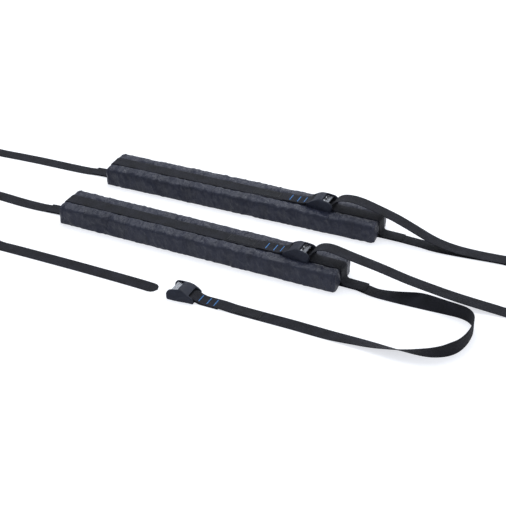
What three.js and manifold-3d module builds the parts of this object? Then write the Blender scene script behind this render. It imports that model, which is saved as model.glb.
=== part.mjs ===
// A pair of soft roof racks for carrying a board on a bare car roof, laid out on a floor.
// Units are millimetres and +Z is up. The origin is on the floor under the middle of the front
// pad, +X runs along that pad and +Y from the front pad to the rear one. Each rack is a foam bar
// in a nylon cover, with one strap under the foam that goes round the car and one strap over the
// pad that holds the board. Each strap is pulled tight by a cam buckle in a rubber bumper.

import * as THREE from "three";
import Module from "manifold-3d";
import { mergeVertices } from "three/addons/utils/BufferGeometryUtils.js";

// Clearance between pieces that touch.
const GAP = 0.3;

// Webbing, the same on every strap.
const WEB_WIDTH = 25;
const WEB_THICK = 1.3;
const WEB_EDGE = 0.35;
const TIP_RADIUS = WEB_WIDTH / 2;
const TIP_STEPS = 5;
const TWIST_STEP = 9;

// Pad: a foam bar in a sewn nylon cover.
const PAD_LENGTH = 508;
const PAD_WIDTH = 67;
const PAD_HEIGHT = 32;
const PAD_ROUND = 4.5;
const PAD_END_ROUND = 3;
const PAD_END_SHARES = [0, 0.16, 0.45, 1];
const COVER_WALL = 0.9;
const END_WALL = 3;
const PUCKER_PITCH = 56;
const PUCKER_DEPTH = 1.3;
const PUCKER_STATIONS = 4;
const CALM_HALF = 28;

// Where each rack lies, its turn in degrees, and how far its top buckle sits from the pad's end.
const RACKS = [
  { name: "front", x: 0, y: 0, turn: 0, buckleFromEnd: 75 },
  { name: "rear", x: 2, y: 159, turn: 1.55, buckleFromEnd: 105.7 },
];

// Sewn stretches of webbing and the labels on them.
const PATCH_LENGTH = 42;
const PATCH_RISE = 2.65;
const END_BEND = 4.6;
const END_BULGE = 1.5;
const BED_MARGIN = 1.2;
const FOLD_LENGTH = 49.5;
const CORE_FOLD_LENGTH = 8;
const LABEL_LENGTH = 50;
const LABEL_WIDTH = 19;
const LABEL_THICK = 0.6;
const LABEL_FROM_BUCKLE = 101.5;

// Cam buckle, in its own frame: +X towards the thumb end, Z = 0 under the base plate.
const EAR_ROOM = 0.5;
const EAR_THICK = 1.5;
const EAR_TOP = 11.4;
const EAR_LOW = 4.9;
const BASE_THICK = 1.8;
const BASE_START = -7;
const BASE_END = 14;
const FRAME_START = -18.5;
const FRAME_END = 16;
const BAR_X = -14.5;
const BAR_Z = 2.2;
const BAR_RADIUS = 1.6;
const PIN_X = 4;
const PIN_Z = 7.8;
const PIN_RADIUS = 1.6;
const PIN_PLAY = 0.09;
const HUB_RADIUS = 3.4;
const TOOTH_ANGLES = [240, 255, 270, 285, 300];
const TOOTH_DEPTH = 0.9;
const TOOTH_FALL = 0.03;
const LEVER_REACH = 13;
const LEVER_THICK = 1.7;
const LEVER_RISE = 10;
const LEVER_CURL = 0.8;
const LEVER_RIDGES = [5.2, 7.6, 10];
const RIDGE_HEIGHT = 0.8;
const SPRING_SLOT = 7;
const SPRING_WIRE = 0.4;
const SPRING_TURNS = 3;
const SPRING_RADIUS = 2.4;

// Rubber bumper round the buckle: a sloped roof over the cam, from the lip where the strap goes in
// to the crest, and two wings beside the thumb lever.
const BUMPER_START = -23;
const BUMPER_END = 24.5;
const BUMPER_WALL = 1.7;
const BUMPER_FLOOR = 2;
const BUMPER_ROOF = 4.3;
const WING_FLARE = 5;
const WING_TOP = 13;
const WING_ROUND = 5;
const LIP_X = -14;
const LIP_TOP = 9.1;
const THROAT_TOP = 7.2;
const CREST_FROM = 0.5;
const CREST_TO = 5;
const NECK_END_TOP = 2.6;
const FLOOR_END = 17;

// Loose coils of strap that stand on edge, each held by a tie.
const TIE_WIDTH = 16;
const TIE_THICK = 1;
const TIE_ROOM = 1.7;
const TIE_ROUND = 0.7;
const COIL_LIFT = TIE_THICK + GAP;
const COIL_SEGMENTS = 36;
const COILS = [
  { name: "front_car_strap_left_coil", x: -470, y: -77, inner: 29, outer: 75, tie: 200 },
  { name: "rear_car_strap_left_coil", x: -575, y: 56, inner: 31, outer: 81, tie: 200 },
  { name: "front_top_tail_coil", x: 620, y: -25, inner: 34, outer: 52, tie: -60 },
  { name: "rear_car_strap_right_coil", x: 607, y: 98, inner: 46, outer: 56, tie: -90 },
  { name: "rear_top_tail_coil", x: 607, y: 252, inner: 34, outer: 52, tie: 60 },
];

// Free straps. A point is [x, y, lift, lean]: lift is the height of the lower edge over the
// floor, and lean turns the strap from flat (0) to standing on its right edge (90).
const STRAP_ROUTES = {
  front_car_strap_right: [
    [255.2, 0, 1.2, 0], [264, 0, 1.1, 0], [275, 0, 1, 0], [286, -0.3, 0.8, 0],
    [297, -2.4, 0.5, 0], [311, -4.9, 0.1, 0], [326, -6.1, 0, 4], [342, -6.5, 0, 11],
    [358, -7, 0, 21], [374, -8, 0, 35], [390, -9.7, 0, 52], [405, -11.7, 0, 67],
    [420, -13, 0, 78], [436, -14, 0, 86], [451, -14.6, 0, 90], [464, -17, 0, 90],
    [474.5, -23, 0, 90], [481.5, -33, 0, 90], [485, -46, 0, 90], [486, -60, 0, 90],
    [485.5, -75, 0, 90], [483, -90, 0, 90], [478.5, -103, 0, 90], [471, -114.5, 0, 89],
    [460.5, -125.5, 0, 80], [447, -134, 0, 70], [432, -139, 0, 59], [416, -141.8, 0, 47],
    [399, -143, 0, 36], [383, -143.1, 0, 27], [367, -142.8, 0, 19], [350, -142.5, 0, 13],
    [332, -142.4, 0, 9], [314, -142.5, 0, 5], [290, -142.4, 0, 1], [260, -141.7, 0, 0],
    [230, -141, 0, 0], [195, -141, 0, 0], [160, -141, 0, 0], [132, -141, 0.3, 0],
    [112, -141, 1.7, 0], [94, -141, 1.7, 0], [80, -141, 1.8, 0], [70, -141, 4.2, 0],
    [64.5, -141, 7, 0], [58.8, -141, 8, 0],
  ],
  front_car_strap_left: [
    [-255.2, 0, 1.2, 0], [-264, 0, 1.1, 0], [-275, -0.3, 1, 0], [-286, -1, 0.8, 0],
    [-297, -1.4, 0.5, 0], [-309, -2, 0, 0], [-322, -2.5, 0, 0], [-337, -2.7, 0, 0],
    [-352, -2.4, 0, 0], [-368, -1.6, 0, 0], [-384, -0.6, 0, 0], [-400, 0.2, 0, 2],
    [-414, 0.2, 0.2, 24], [-428, -0.6, 0.6, 52], [-442, -1.5, 1.1, 78], [-454, -2, 1.3, 90],
  ],
  front_car_strap_end: [
    [-400, -109, 1.3, 90], [-399, -118, 1.2, 90], [-394.5, -127.5, 1, 88],
    [-386, -134.5, 0.7, 81], [-374, -138.5, 0.4, 69], [-360, -140, 0.2, 53],
    [-346, -140.4, 0, 37], [-332, -140.5, 0, 21], [-319, -140.4, 0, 7], [-306, -140.3, 0, 0],
    [-280, -140, 0, 0], [-250, -139.7, 0, 0], [-215, -139.6, 0, 0], [-180, -139.5, 0, 0],
    [-145, -139.6, 0, 0], [-110, -140, 0, 0], [-75, -140.5, 0, 0], [-45, -141.2, 0, 0],
    [-24, -142, 0, 0], [-3, -143.3, 0, 0],
  ],
  front_top_tail: [
    [195.3, 0, 38.3, 0], [197.6, 0, 38.5, 0], [199.8, 0, 40.2, 0], [202.3, 0.1, 44, 0],
    [205.5, 0.3, 48.6, 0], [210.2, 0.5, 53, 0], [216.5, 0.7, 56.2, 0], [224, 0.9, 58, 0],
    [232.5, 1.1, 58.3, 0], [242, 1.4, 57, 0], [254, 1.9, 54.4, 0], [268, 2.6, 51.2, 0],
    [285, 3.4, 47.7, 0], [303, 4.4, 44.1, 0], [322, 5.6, 39.8, 0], [341, 7.1, 34.8, 0],
    [360, 9.2, 29.6, 0], [380, 11.8, 24.7, 0], [400, 14.6, 20.1, 0], [420, 17.5, 15.5, 0],
    [440, 20.3, 11.5, 0], [460, 22.8, 8.2, 0], [480, 25, 5.4, 0], [500, 26.7, 3, 0],
    [516, 27.7, 1.4, 0], [532, 28.2, 0.3, 8], [548, 28.2, 0.2, 28], [564, 27.9, 0.6, 52],
    [580, 27.4, 1, 74], [594, 26.9, 1.3, 88], [605, 26.45, 1.3, 90],
  ],
  rear_car_strap_left: [
    [-253.1, 152.1, 1.2, 0], [-262, 151.8, 1.1, 0], [-273, 151.3, 1, 0],
    [-284, 150.5, 0.8, 0], [-295, 149.3, 0.5, 0], [-307, 147.8, 0, 0], [-321, 146.7, 0, 0],
    [-337, 145.9, 0, 0], [-354, 145.3, 0, 0], [-372, 144.8, 0, 0], [-392, 144.2, 0, 0],
    [-412, 143.4, 0, 0], [-432, 142.3, 0, 0], [-452, 141, 0, 0], [-472, 139.5, 0, 0],
    [-492, 138, 0, 2], [-508, 137.3, 0.2, 22], [-524, 137, 0.6, 48], [-540, 137, 1, 74],
    [-552, 137, 1.3, 88], [-560, 137, 1.3, 90],
  ],
  rear_car_strap_right: [
    [257.1, 165.9, 1.2, 0], [266, 166.14, 1.1, 0], [277, 166.44, 1, 0], [288, 166.8, 0.8, 0],
    [299, 167.1, 0.5, 0], [311, 167.1, 0, 0], [323, 166.6, 0, 0], [336, 165.8, 0, 0],
    [350, 163.9, 0, 0], [366, 163.7, 0, 0], [384, 164.7, 0, 0], [402, 166.4, 0, 0],
    [420, 168.4, 0, 0], [438, 170.5, 0, 0], [456, 172.4, 0, 0], [474, 173.5, 0, 0],
    [490, 172.5, 0, 0], [506, 169, 0, 0], [522, 164, 0, 0], [538, 159.5, 0, 6],
    [552, 156.5, 0.3, 32], [566, 154.8, 0.8, 62], [580, 153.7, 1.3, 86], [591, 153.3, 1.3, 90],
  ],
  rear_car_strap_core: [
    [569.4, 119.7, 1.3, 90], [576.3, 128.7, 1.5, 90], [585.3, 135.6, 2.2, 90],
    [595.8, 139.9, 3.4, 90], [607, 141.4, 4.8, 90], [616.5, 140.5, 6, 90], [622.5, 138.6, 6.7, 90],
    [627.5, 135.4, 7.2, 90], [630.9, 131, 7.4, 90], [632.8, 126, 7.5, 90],
    [633.3, 121, 7.5, 90], [633.35, 116.4, 7.5, 90],
  ],
  rear_top_tail: [
    [166.6, 163.45, 38.3, 0], [168.9, 163.5, 38.5, 0], [171.1, 163.55, 40.2, 0],
    [173.7, 163.6, 44, 0], [177, 163.7, 48.2, 0], [182, 163.8, 52, 0], [188.5, 164, 54.7, 0],
    [197, 164.3, 56.2, 0], [207, 164.6, 56.5, 0], [218, 164.9, 55.5, 0], [230, 165, 53.2, 0],
    [243, 165, 50, 0], [256, 165, 46.6, 0], [270, 164.6, 43, 0],
    [285, 164, 39, 0], [300, 163.4, 34, 0], [315, 163, 28.5, 0], [330, 162.8, 22.6, 0],
    [345, 162.8, 16.8, 0], [361, 163.2, 11.8, 0], [378, 164.2, 8, 0], [395, 165.5, 5.4, 0],
    [413, 167, 3.9, 0], [432, 168.8, 3, 0], [452, 170.8, 2.6, 0], [472, 173.2, 2.4, 0],
    [488, 176.8, 2.2, 0], [504, 182, 2, 0], [520, 188, 1.8, 0], [536, 193, 0.9, 4],
    [552, 196.5, 0.4, 24], [566, 198.5, 0.8, 50], [580, 199.9, 1.2, 78], [591, 200.85, 1.3, 90],
  ],
};
const ROUNDED_TIP = "front_car_strap_end";

// Buckles at the free ends of the car straps: a place, and the two directions of the buckle's
// own X and Y. The front one lies flat; the rear one stands on its side in the core of its coil.
const FREE_BUCKLES = [
  {
    name: "front", x: 44, y: -141, z: 0, alongX: [-1, 0, 0], alongY: [0, -1, 0],
    fold: FOLD_LENGTH,
  },
  {
    name: "rear", x: 642, y: 101.6, z: 20, alongX: [0, -1, 0], alongY: [0, 0, 1],
    fold: CORE_FOLD_LENGTH,
  },
];

const COLOURS = {
  nylon: [0x24262e, 0.62, 0],
  foam: [0x3a3c40, 0.9, 0],
  webbing: [0x17181b, 0.85, 0],
  rubber: [0x2a2d36, 0.55, 0],
  metal: [0xb9bcc0, 0.3, 0.9],
  label: [0x1d1f24, 0.5, 0],
};

// Heights that follow from the sizes above. BUCKLE_LIFT is the base plate over what the bumper
// lies on, FLAT_Z is a strap's middle on such a surface, and the rest are in the buckle's frame.
const BUMPER_UNDER = GAP + WEB_THICK + GAP;
const BUCKLE_LIFT = BUMPER_UNDER + BUMPER_FLOOR;
const FLAT_Z = WEB_THICK / 2;
const PLY_STEP = WEB_THICK + GAP;
const RUN_UNDER = -GAP - WEB_THICK / 2;
const RUN_OVER = BASE_THICK + GAP + WEB_THICK / 2;
const RUN_BEND = BASE_THICK / 2 + GAP + WEB_THICK / 2;
const LOOP_BEND = BAR_RADIUS + GAP + WEB_THICK / 2;
const TOOTH_REACH = PIN_Z - RUN_OVER - WEB_THICK / 2 - GAP;
const EAR_INSIDE = WEB_WIDTH + 2 * EAR_ROOM;
const EAR_OUTSIDE = EAR_INSIDE / 2 + EAR_THICK;
const NECK_HALF = EAR_OUTSIDE + GAP + BUMPER_WALL;
const WING_SPREAD = EAR_OUTSIDE + WING_FLARE;
const CREST_TOP = EAR_TOP + GAP + BUMPER_ROOF;

const wasm = await Module();
wasm.setup();

function solidOf(geometry) {
  const bare = geometry.clone();
  bare.deleteAttribute("normal");
  bare.deleteAttribute("uv");
  const merged = mergeVertices(bare, 1e-4);
  return new wasm.Manifold(new wasm.Mesh({
    numProp: 3,
    vertProperties: new Float32Array(merged.attributes.position.array),
    triVerts: new Uint32Array(merged.index.array),
  }));
}

function geometryOf(solid) {
  const mesh = solid.getMesh();
  const geometry = new THREE.BufferGeometry();
  geometry.setAttribute("position", new THREE.BufferAttribute(mesh.vertProperties, 3));
  geometry.setIndex(new THREE.BufferAttribute(mesh.triVerts, 1));
  geometry.computeVertexNormals();
  return geometry;
}

function meshOf(name, geometry, kind) {
  const [color, roughness, metalness] = COLOURS[kind];
  const mesh = new THREE.Mesh(geometry, new THREE.MeshStandardMaterial({ color, roughness, metalness }));
  mesh.name = name;
  return mesh;
}

function box(from, to) {
  const geometry = new THREE.BoxGeometry(to[0] - from[0], to[1] - from[1], to[2] - from[2]);
  return geometry.translate((from[0] + to[0]) / 2, (from[1] + to[1]) / 2, (from[2] + to[2]) / 2);
}

// A side view outline in X and Z, extruded to a width centred on Y = 0.
function sideExtrude(outline, width, curveSegments = 6) {
  const shape = outline instanceof THREE.Shape ? outline : new THREE.Shape(outline);
  const geometry = new THREE.ExtrudeGeometry(shape, { depth: width, bevelEnabled: false, curveSegments });
  return geometry.rotateX(Math.PI / 2).translate(0, width / 2, 0);
}

function crossCylinder(radius, length, segments, x, z) {
  return new THREE.CylinderGeometry(radius, radius, length, segments).translate(x, 0, z);
}

// A closed skin through rings of points, each ring anticlockwise about the way along. Its quads are
// cut along mirrored diagonals on the two halves of a ring, so a thin twisted strip keeps its
// thickness.
function loft(rings) {
  const sides = rings[0].length;
  const index = [];
  for (let r = 0; r + 1 < rings.length; r += 1) {
    for (let s = 0; s < sides; s += 1) {
      const a = r * sides + s;
      const b = r * sides + (s + 1) % sides;
      const firstHalf = s < sides / 2;
      index.push(...(firstHalf
        ? [a, b, b + sides, a, b + sides, a + sides]
        : [a, b, a + sides, b, b + sides, a + sides]));
    }
  }
  const last = (rings.length - 1) * sides;
  for (let s = 1; s + 1 < sides; s += 1) {
    index.push(0, s + 1, s, last, last + s, last + s + 1);
  }
  const geometry = new THREE.BufferGeometry().setFromPoints(rings.flat());
  geometry.setIndex(index);
  geometry.computeVertexNormals();
  return geometry;
}

// One ring of a strap: at a point, for the way along, the way across and a share of the width.
function strapRing(point, along, across, share = 1) {
  const wide = across.clone().addScaledVector(along, -across.dot(along)).normalize();
  const face = along.clone().cross(wide);
  const w = (WEB_WIDTH / 2) * share;
  const t = WEB_THICK / 2;
  const e = Math.min(WEB_EDGE, w / 2);
  const section = [
    [w, e - t], [w, t - e], [w - e, t], [e - w, t], [-w, t - e], [-w, e - t], [e - w, -t], [w - e, -t],
  ];
  return section.map(([a, b]) => point.clone().addScaledVector(wide, a).addScaledVector(face, b));
}

// A strap whose side view is a list of [x, z] points; its width lies along Y.
function profileStrap(points) {
  const curve = new THREE.CatmullRomCurve3(points.map(([x, z]) => new THREE.Vector3(x, 0, z)));
  const across = new THREE.Vector3(0, 1, 0);
  const last = points.length - 1;
  return loft(points.map((_, i) => strapRing(curve.getPoint(i / last), curve.getTangent(i / last), across)));
}

// Points on an arc in the side view, from one angle to another in degrees.
function arc(x, z, radius, from, to, steps) {
  return Array.from({ length: steps + 1 }, (_, i) => {
    const angle = THREE.MathUtils.degToRad(from + (to - from) * i / steps);
    return [x + radius * Math.cos(angle), z + radius * Math.sin(angle)];
  });
}

function routeCentre([x, y, lift, lean]) {
  const tilt = THREE.MathUtils.degToRad(lean);
  return new THREE.Vector3(x, y, lift + (WEB_WIDTH * Math.sin(tilt) + WEB_THICK * Math.cos(tilt)) / 2);
}

// The stations of a route as shares of its points, each with its lean, closer where it twists.
function routeStations(route) {
  const last = route.length - 1;
  return route.flatMap(([, , , lean], i) => {
    const next = route[Math.min(i + 1, last)][3];
    const steps = i < last ? Math.max(1, Math.ceil(Math.abs(next - lean) / TWIST_STEP)) : 1;
    return Array.from({ length: steps }, (_, k) => [
      (i + k / steps) / last, lean + (next - lean) * k / steps,
    ]);
  });
}

// A free strap along a route, with its far end cut square or round.
function routeStrap(route, roundedTip) {
  const curve = new THREE.CatmullRomCurve3(route.map(routeCentre));
  const length = curve.getLength();
  const ringAt = (t, lean, share) => {
    const along = curve.getTangent(t);
    const tilt = THREE.MathUtils.degToRad(lean);
    const heading = new THREE.Vector3(along.x, along.y, 0).normalize();
    const across = new THREE.Vector3(-heading.y, heading.x, 0).multiplyScalar(Math.cos(tilt));
    across.z = Math.sin(tilt);
    return strapRing(curve.getPoint(t), along, across, share);
  };
  const stations = routeStations(route);
  const rings = stations.slice(0, roundedTip ? -1 : undefined).map(([t, lean]) => ringAt(t, lean, 1));
  if (roundedTip) {
    for (let i = 0; i <= TIP_STEPS; i += 1) {
      const angle = (Math.PI / 2) * (i / TIP_STEPS) * 0.96;
      const back = TIP_RADIUS * (1 - Math.sin(angle));
      const t = 1 - back / length;
      rings.push(ringAt(t, 0, Math.cos(angle)));
    }
  }
  return loft(rings);
}

// A rounded rectangle in Y and Z at one X, drawn in by an inset all round and by a pucker, with a
// bed for the strap marked along its top.
function padRing(x, inset, pucker, low, high, half, round) {
  const r = Math.max(round - inset, 2);
  const y = half - inset - pucker;
  const corners = [
    [y - r, high - inset - pucker - r, 0], [r - y, high - inset - pucker - r, 90],
    [r - y, low + inset + r, 180], [y - r, low + inset + r, 270],
  ];
  const ring = corners.flatMap(([cy, cz, start]) => [0, 30, 60, 90].map((step) => {
    const angle = THREE.MathUtils.degToRad(start + step);
    return new THREE.Vector3(x, cy + r * Math.cos(angle), cz + r * Math.sin(angle));
  }));
  const bed = WEB_WIDTH / 2 + BED_MARGIN;
  const top = high - inset - pucker;
  ring.splice(4, 0, new THREE.Vector3(x, bed, top), new THREE.Vector3(x, -bed, top));
  return ring;
}

// How far the sewn cover is drawn in at one place along the pad.
function puckerAt(x) {
  const calm = Math.abs(x) < CALM_HALF;
  return calm ? 0 : PUCKER_DEPTH * Math.sin(Math.PI * x / PUCKER_PITCH) ** 2;
}

function endInset(fromEnd) {
  const short = Math.max(PAD_END_ROUND - fromEnd, 0);
  return PAD_END_ROUND - Math.sqrt(PAD_END_ROUND ** 2 - short ** 2);
}

function coverOutside() {
  const half = PAD_LENGTH / 2;
  const ends = PAD_END_SHARES.map((share) => share * PAD_END_ROUND);
  const step = PUCKER_PITCH / PUCKER_STATIONS;
  const inner = half - 2 * PAD_END_ROUND;
  const count = Math.round(2 * inner / step);
  const middle = Array.from({ length: count + 1 }, (_, i) => -inner + 2 * inner * i / count);
  const stations = [
    ...ends.map((d) => [d - half, endInset(d)]),
    ...middle.map((x) => [x, 0]),
    ...ends.map((d) => [half - d, endInset(d)]).reverse(),
  ];
  return loft(stations.map(([x, inset]) => padRing(
    x, inset, inset > 0 ? 0 : puckerAt(x), 0, PAD_HEIGHT, PAD_WIDTH / 2, PAD_ROUND,
  )));
}

// A plain bar with rounded long edges, for the foam and for the room that it fills.
function bar(halfLength, low, high, halfWidth) {
  return loft([-halfLength, halfLength].map((x) => padRing(x, 0, 0, low, high, halfWidth, PAD_ROUND - 1)));
}

function padCover() {
  const half = PAD_LENGTH / 2;
  const room = bar(
    half - END_WALL, COVER_WALL, PAD_HEIGHT - COVER_WALL - PUCKER_DEPTH,
    PAD_WIDTH / 2 - COVER_WALL - PUCKER_DEPTH,
  );
  const slot = box(
    [-half - 1, -WEB_WIDTH / 2 - GAP, COVER_WALL],
    [half + 1, WEB_WIDTH / 2 + GAP, COVER_WALL + 2 * GAP + WEB_THICK],
  );
  return geometryOf(solidOf(coverOutside()).subtract(solidOf(room)).subtract(solidOf(slot)));
}

function foamCore() {
  return bar(
    PAD_LENGTH / 2 - END_WALL - GAP, COVER_WALL + 2 * GAP + WEB_THICK + GAP,
    PAD_HEIGHT - COVER_WALL - PUCKER_DEPTH - GAP,
    PAD_WIDTH / 2 - COVER_WALL - PUCKER_DEPTH - GAP,
  );
}

// The stretch of the car strap inside the cover, from end face to end face.
function innerStrap() {
  const half = PAD_LENGTH / 2 + 0.9;
  const z = COVER_WALL + GAP + WEB_THICK / 2;
  return profileStrap([[-half, z], [0, z], [half, z]]);
}

// The way of a top strap at the right end of the pad: over the edge, down, and out as a patch.
function endRun() {
  const half = PAD_LENGTH / 2;
  const face = half + GAP + FLAT_Z;
  const top = PAD_HEIGHT + GAP + FLAT_Z;
  const patchTop = COVER_WALL + 2 * GAP + WEB_THICK + GAP + FLAT_Z;
  const bend = END_BEND + FLAT_Z;
  return [
    ...arc(face + END_BULGE - bend, top - bend, bend, 90, 0, 4),
    [face + END_BULGE + 0.4, PAD_HEIGHT / 2], [face + END_BULGE + 0.9, 10.5],
    [face + END_BULGE + 2, 6.8], [face + END_BULGE + 4.8, 4.4],
    [face + 10, patchTop + 0.1], [face + 20, patchTop - 0.2], [face + 32, (patchTop + PATCH_RISE) / 2],
    [face + PATCH_LENGTH, PATCH_RISE],
  ];
}

// The top strap's left part, from its patch over the pad and round the bar of the buckle.
function topStrapLeft(buckleX) {
  const top = PAD_HEIGHT + GAP + FLAT_Z;
  const base = PAD_HEIGHT + GAP + BUCKLE_LIFT;
  const start = endRun().map(([x, z]) => [-x, z]).reverse();
  const middle = [-0.8, -0.6, -0.4, -0.2, 0, 0.2].map((share) => [share * PAD_LENGTH / 2, top]);
  return profileStrap([
    ...start, ...middle, [buckleX - 84, top], [buckleX - 76, top], [buckleX - 71, top + 0.5],
    [buckleX - 65.5, top + PLY_STEP], [buckleX - 58, top + PLY_STEP], [buckleX - 46, top + PLY_STEP],
    [buckleX - 34, top + PLY_STEP + 0.2], [buckleX - 26, base + 0.9], [buckleX - 20, base + 3.8],
    ...arc(buckleX + BAR_X, base + BAR_Z, LOOP_BEND, 90, -90, 8),
    ...foldRun(FOLD_LENGTH, buckleX, base),
  ]);
}

// The ply that turns back under the strap after the buckle's bar, in the side view.
function foldRun(length, x, z) {
  const flat = FLAT_Z - BUCKLE_LIFT;
  const near = [[-18.5, -0.4], [-23.2, -0.75]];
  const far = [[-28, -2.1], [-33, flat + 0.1], [-40, flat], [BAR_X - length, flat]];
  const run = length > -BUMPER_START ? [...near, ...far] : near;
  return run.map(([dx, dz]) => [x + dx, z + dz]);
}

// The top strap's right part: under the buckle's base plate and back over it, then over the
// pad's right end.
function topStrapRight(buckleX) {
  const top = PAD_HEIGHT + GAP + FLAT_Z;
  const base = PAD_HEIGHT + GAP + BUCKLE_LIFT;
  const bendX = buckleX + BASE_START + BASE_THICK / 2;
  return profileStrap([
    [buckleX + FRAME_END, base + RUN_OVER], [buckleX + 4, base + RUN_OVER],
    ...arc(bendX, base + BASE_THICK / 2, RUN_BEND, 90, 270, 8),
    [buckleX + 5, base + RUN_UNDER], [buckleX + FLOOR_END, base + RUN_UNDER],
    [buckleX + 25, base + RUN_UNDER - 1], [buckleX + 34, top + 0.1], [buckleX + 44, top],
    ...endRun(),
  ]);
}

// The wrap round the bar of a free buckle and the ply sewn back under its strap.
function strapFold(length) {
  return profileStrap([...arc(BAR_X, BAR_Z, LOOP_BEND, 90, -90, 8), ...foldRun(length, 0, 0)]);
}

function label() {
  return new THREE.BoxGeometry(LABEL_LENGTH, LABEL_WIDTH, LABEL_THICK).translate(0, 0, LABEL_THICK / 2);
}

function buckleFrame() {
  const ear = new THREE.Shape([
    [FRAME_START, 0], [FRAME_END, 0], [FRAME_END, 5.5], [PIN_X + 4, EAR_TOP], [PIN_X - 4, EAR_TOP],
    [BAR_X + 2.5, EAR_LOW], [FRAME_START, EAR_LOW],
  ].map(([x, z]) => new THREE.Vector2(x, z)));
  const ears = solidOf(sideExtrude(ear, 2 * EAR_OUTSIDE));
  const inside = solidOf(box([-40, -EAR_INSIDE / 2, -1], [40, EAR_INSIDE / 2, 40]));
  const plate = new THREE.Shape();
  plate.moveTo(BASE_END, BASE_THICK);
  plate.lineTo(BASE_START + BASE_THICK / 2, BASE_THICK);
  plate.absarc(BASE_START + BASE_THICK / 2, BASE_THICK / 2, BASE_THICK / 2, Math.PI / 2, 3 * Math.PI / 2, false);
  plate.lineTo(BASE_END, 0);
  const base = solidOf(sideExtrude(plate, 2 * EAR_OUTSIDE - EAR_THICK));
  const bar = solidOf(crossCylinder(BAR_RADIUS, 2 * EAR_OUTSIDE - EAR_THICK, 16, BAR_X, BAR_Z));
  const bore = solidOf(crossCylinder(PIN_RADIUS + GAP, 2 * EAR_OUTSIDE + 2, 16, PIN_X, PIN_Z));
  return geometryOf(ears.subtract(inside).add(base).add(bar).subtract(bore));
}

// The cam: a toothed hub on the pin, with a thumb lever, slotted for the spring.
function buckleCam() {
  const rise = THREE.MathUtils.degToRad(LEVER_RISE);
  const onLever = (reach, side) => new THREE.Vector2(
    PIN_X + reach * Math.cos(rise) - side * Math.sin(rise),
    PIN_Z + reach * Math.sin(rise) + side * Math.cos(rise),
  );
  const onHub = (degrees, radius) => {
    const angle = THREE.MathUtils.degToRad(degrees);
    return new THREE.Vector2(PIN_X + radius * Math.cos(angle), PIN_Z + radius * Math.sin(angle));
  };
  const half = LEVER_THICK / 2;
  const reachOf = (degrees) => TOOTH_REACH - TOOTH_FALL * Math.abs(degrees - 270);
  const teeth = TOOTH_ANGLES.flatMap((a) => [onHub(a - 7, reachOf(a) - TOOTH_DEPTH), onHub(a, reachOf(a))]);
  const hub = [45, 70, 95, 120, 145, 170, 195, 215].map((a) => onHub(a, HUB_RADIUS));
  const ridges = LEVER_RIDGES.flatMap((reach) => [
    onLever(reach - 0.8, half), onLever(reach - 0.4, half + RIDGE_HEIGHT),
    onLever(reach + 0.4, half + RIDGE_HEIGHT), onLever(reach + 0.8, half),
  ]);
  const outline = [
    ...hub, ...teeth, onHub(315, HUB_RADIUS - 0.4), onHub(340, HUB_RADIUS - 0.2),
    onLever(HUB_RADIUS + 0.6, -half), onLever(LEVER_REACH - 2, -half),
    onLever(LEVER_REACH, LEVER_CURL - half), onLever(LEVER_REACH, LEVER_CURL + half),
    ...ridges.reverse(), onLever(HUB_RADIUS + 0.2, half),
  ];
  const body = solidOf(sideExtrude(outline, EAR_INSIDE - 2 * GAP));
  const bore = solidOf(crossCylinder(PIN_RADIUS + PIN_PLAY, EAR_INSIDE + 2, 16, PIN_X, PIN_Z));
  const slot = solidOf(box(
    [PIN_X - 9, -SPRING_SLOT / 2, PIN_Z - 9], [PIN_X + HUB_RADIUS + 0.6, SPRING_SLOT / 2, PIN_Z + 9],
  ));
  return geometryOf(body.subtract(bore).subtract(slot));
}

function bucklePin() {
  return crossCylinder(PIN_RADIUS, 2 * EAR_OUTSIDE, 16, PIN_X, PIN_Z);
}

class SpringCurve extends THREE.Curve {
  getPoint(t, target = new THREE.Vector3()) {
    const angle = 2 * Math.PI * SPRING_TURNS * t;
    const run = SPRING_SLOT - 4 * SPRING_WIRE - 2 * GAP;
    return target.set(
      PIN_X + SPRING_RADIUS * Math.cos(angle), run * (t - 0.5), PIN_Z + SPRING_RADIUS * Math.sin(angle),
    );
  }
}

function buckleSpring() {
  const section = new THREE.Shape();
  section.absarc(0, 0, SPRING_WIRE, 0, 2 * Math.PI, false);
  return new THREE.ExtrudeGeometry(section, {
    steps: 8 * SPRING_TURNS, curveSegments: 3, extrudePath: new SpringCurve(),
  });
}

// The bumper's outline from above: a neck that widens to two rounded wings.
function bumperPlan() {
  const inside = EAR_INSIDE / 2;
  const half = new THREE.Path();
  half.moveTo(BUMPER_START, 1 - NECK_HALF);
  half.quadraticCurveTo(BUMPER_START + 0.3, -NECK_HALF, BUMPER_START + 2, -NECK_HALF);
  half.bezierCurveTo(-6, -NECK_HALF, -2, -WING_SPREAD, BUMPER_END - WING_ROUND - 4, -WING_SPREAD);
  half.lineTo(BUMPER_END - WING_ROUND, -WING_SPREAD);
  half.absarc(BUMPER_END - WING_ROUND, WING_ROUND - WING_SPREAD, WING_ROUND, -Math.PI / 2, 0, false);
  half.quadraticCurveTo(BUMPER_END, -inside, BUMPER_END - 3, -inside);
  half.lineTo(FLOOR_END, -inside);
  const lower = half.getPoints(6);
  const upper = lower.map((p) => new THREE.Vector2(p.x, -p.y)).reverse();
  return new THREE.Shape([...lower, ...upper]);
}

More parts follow.
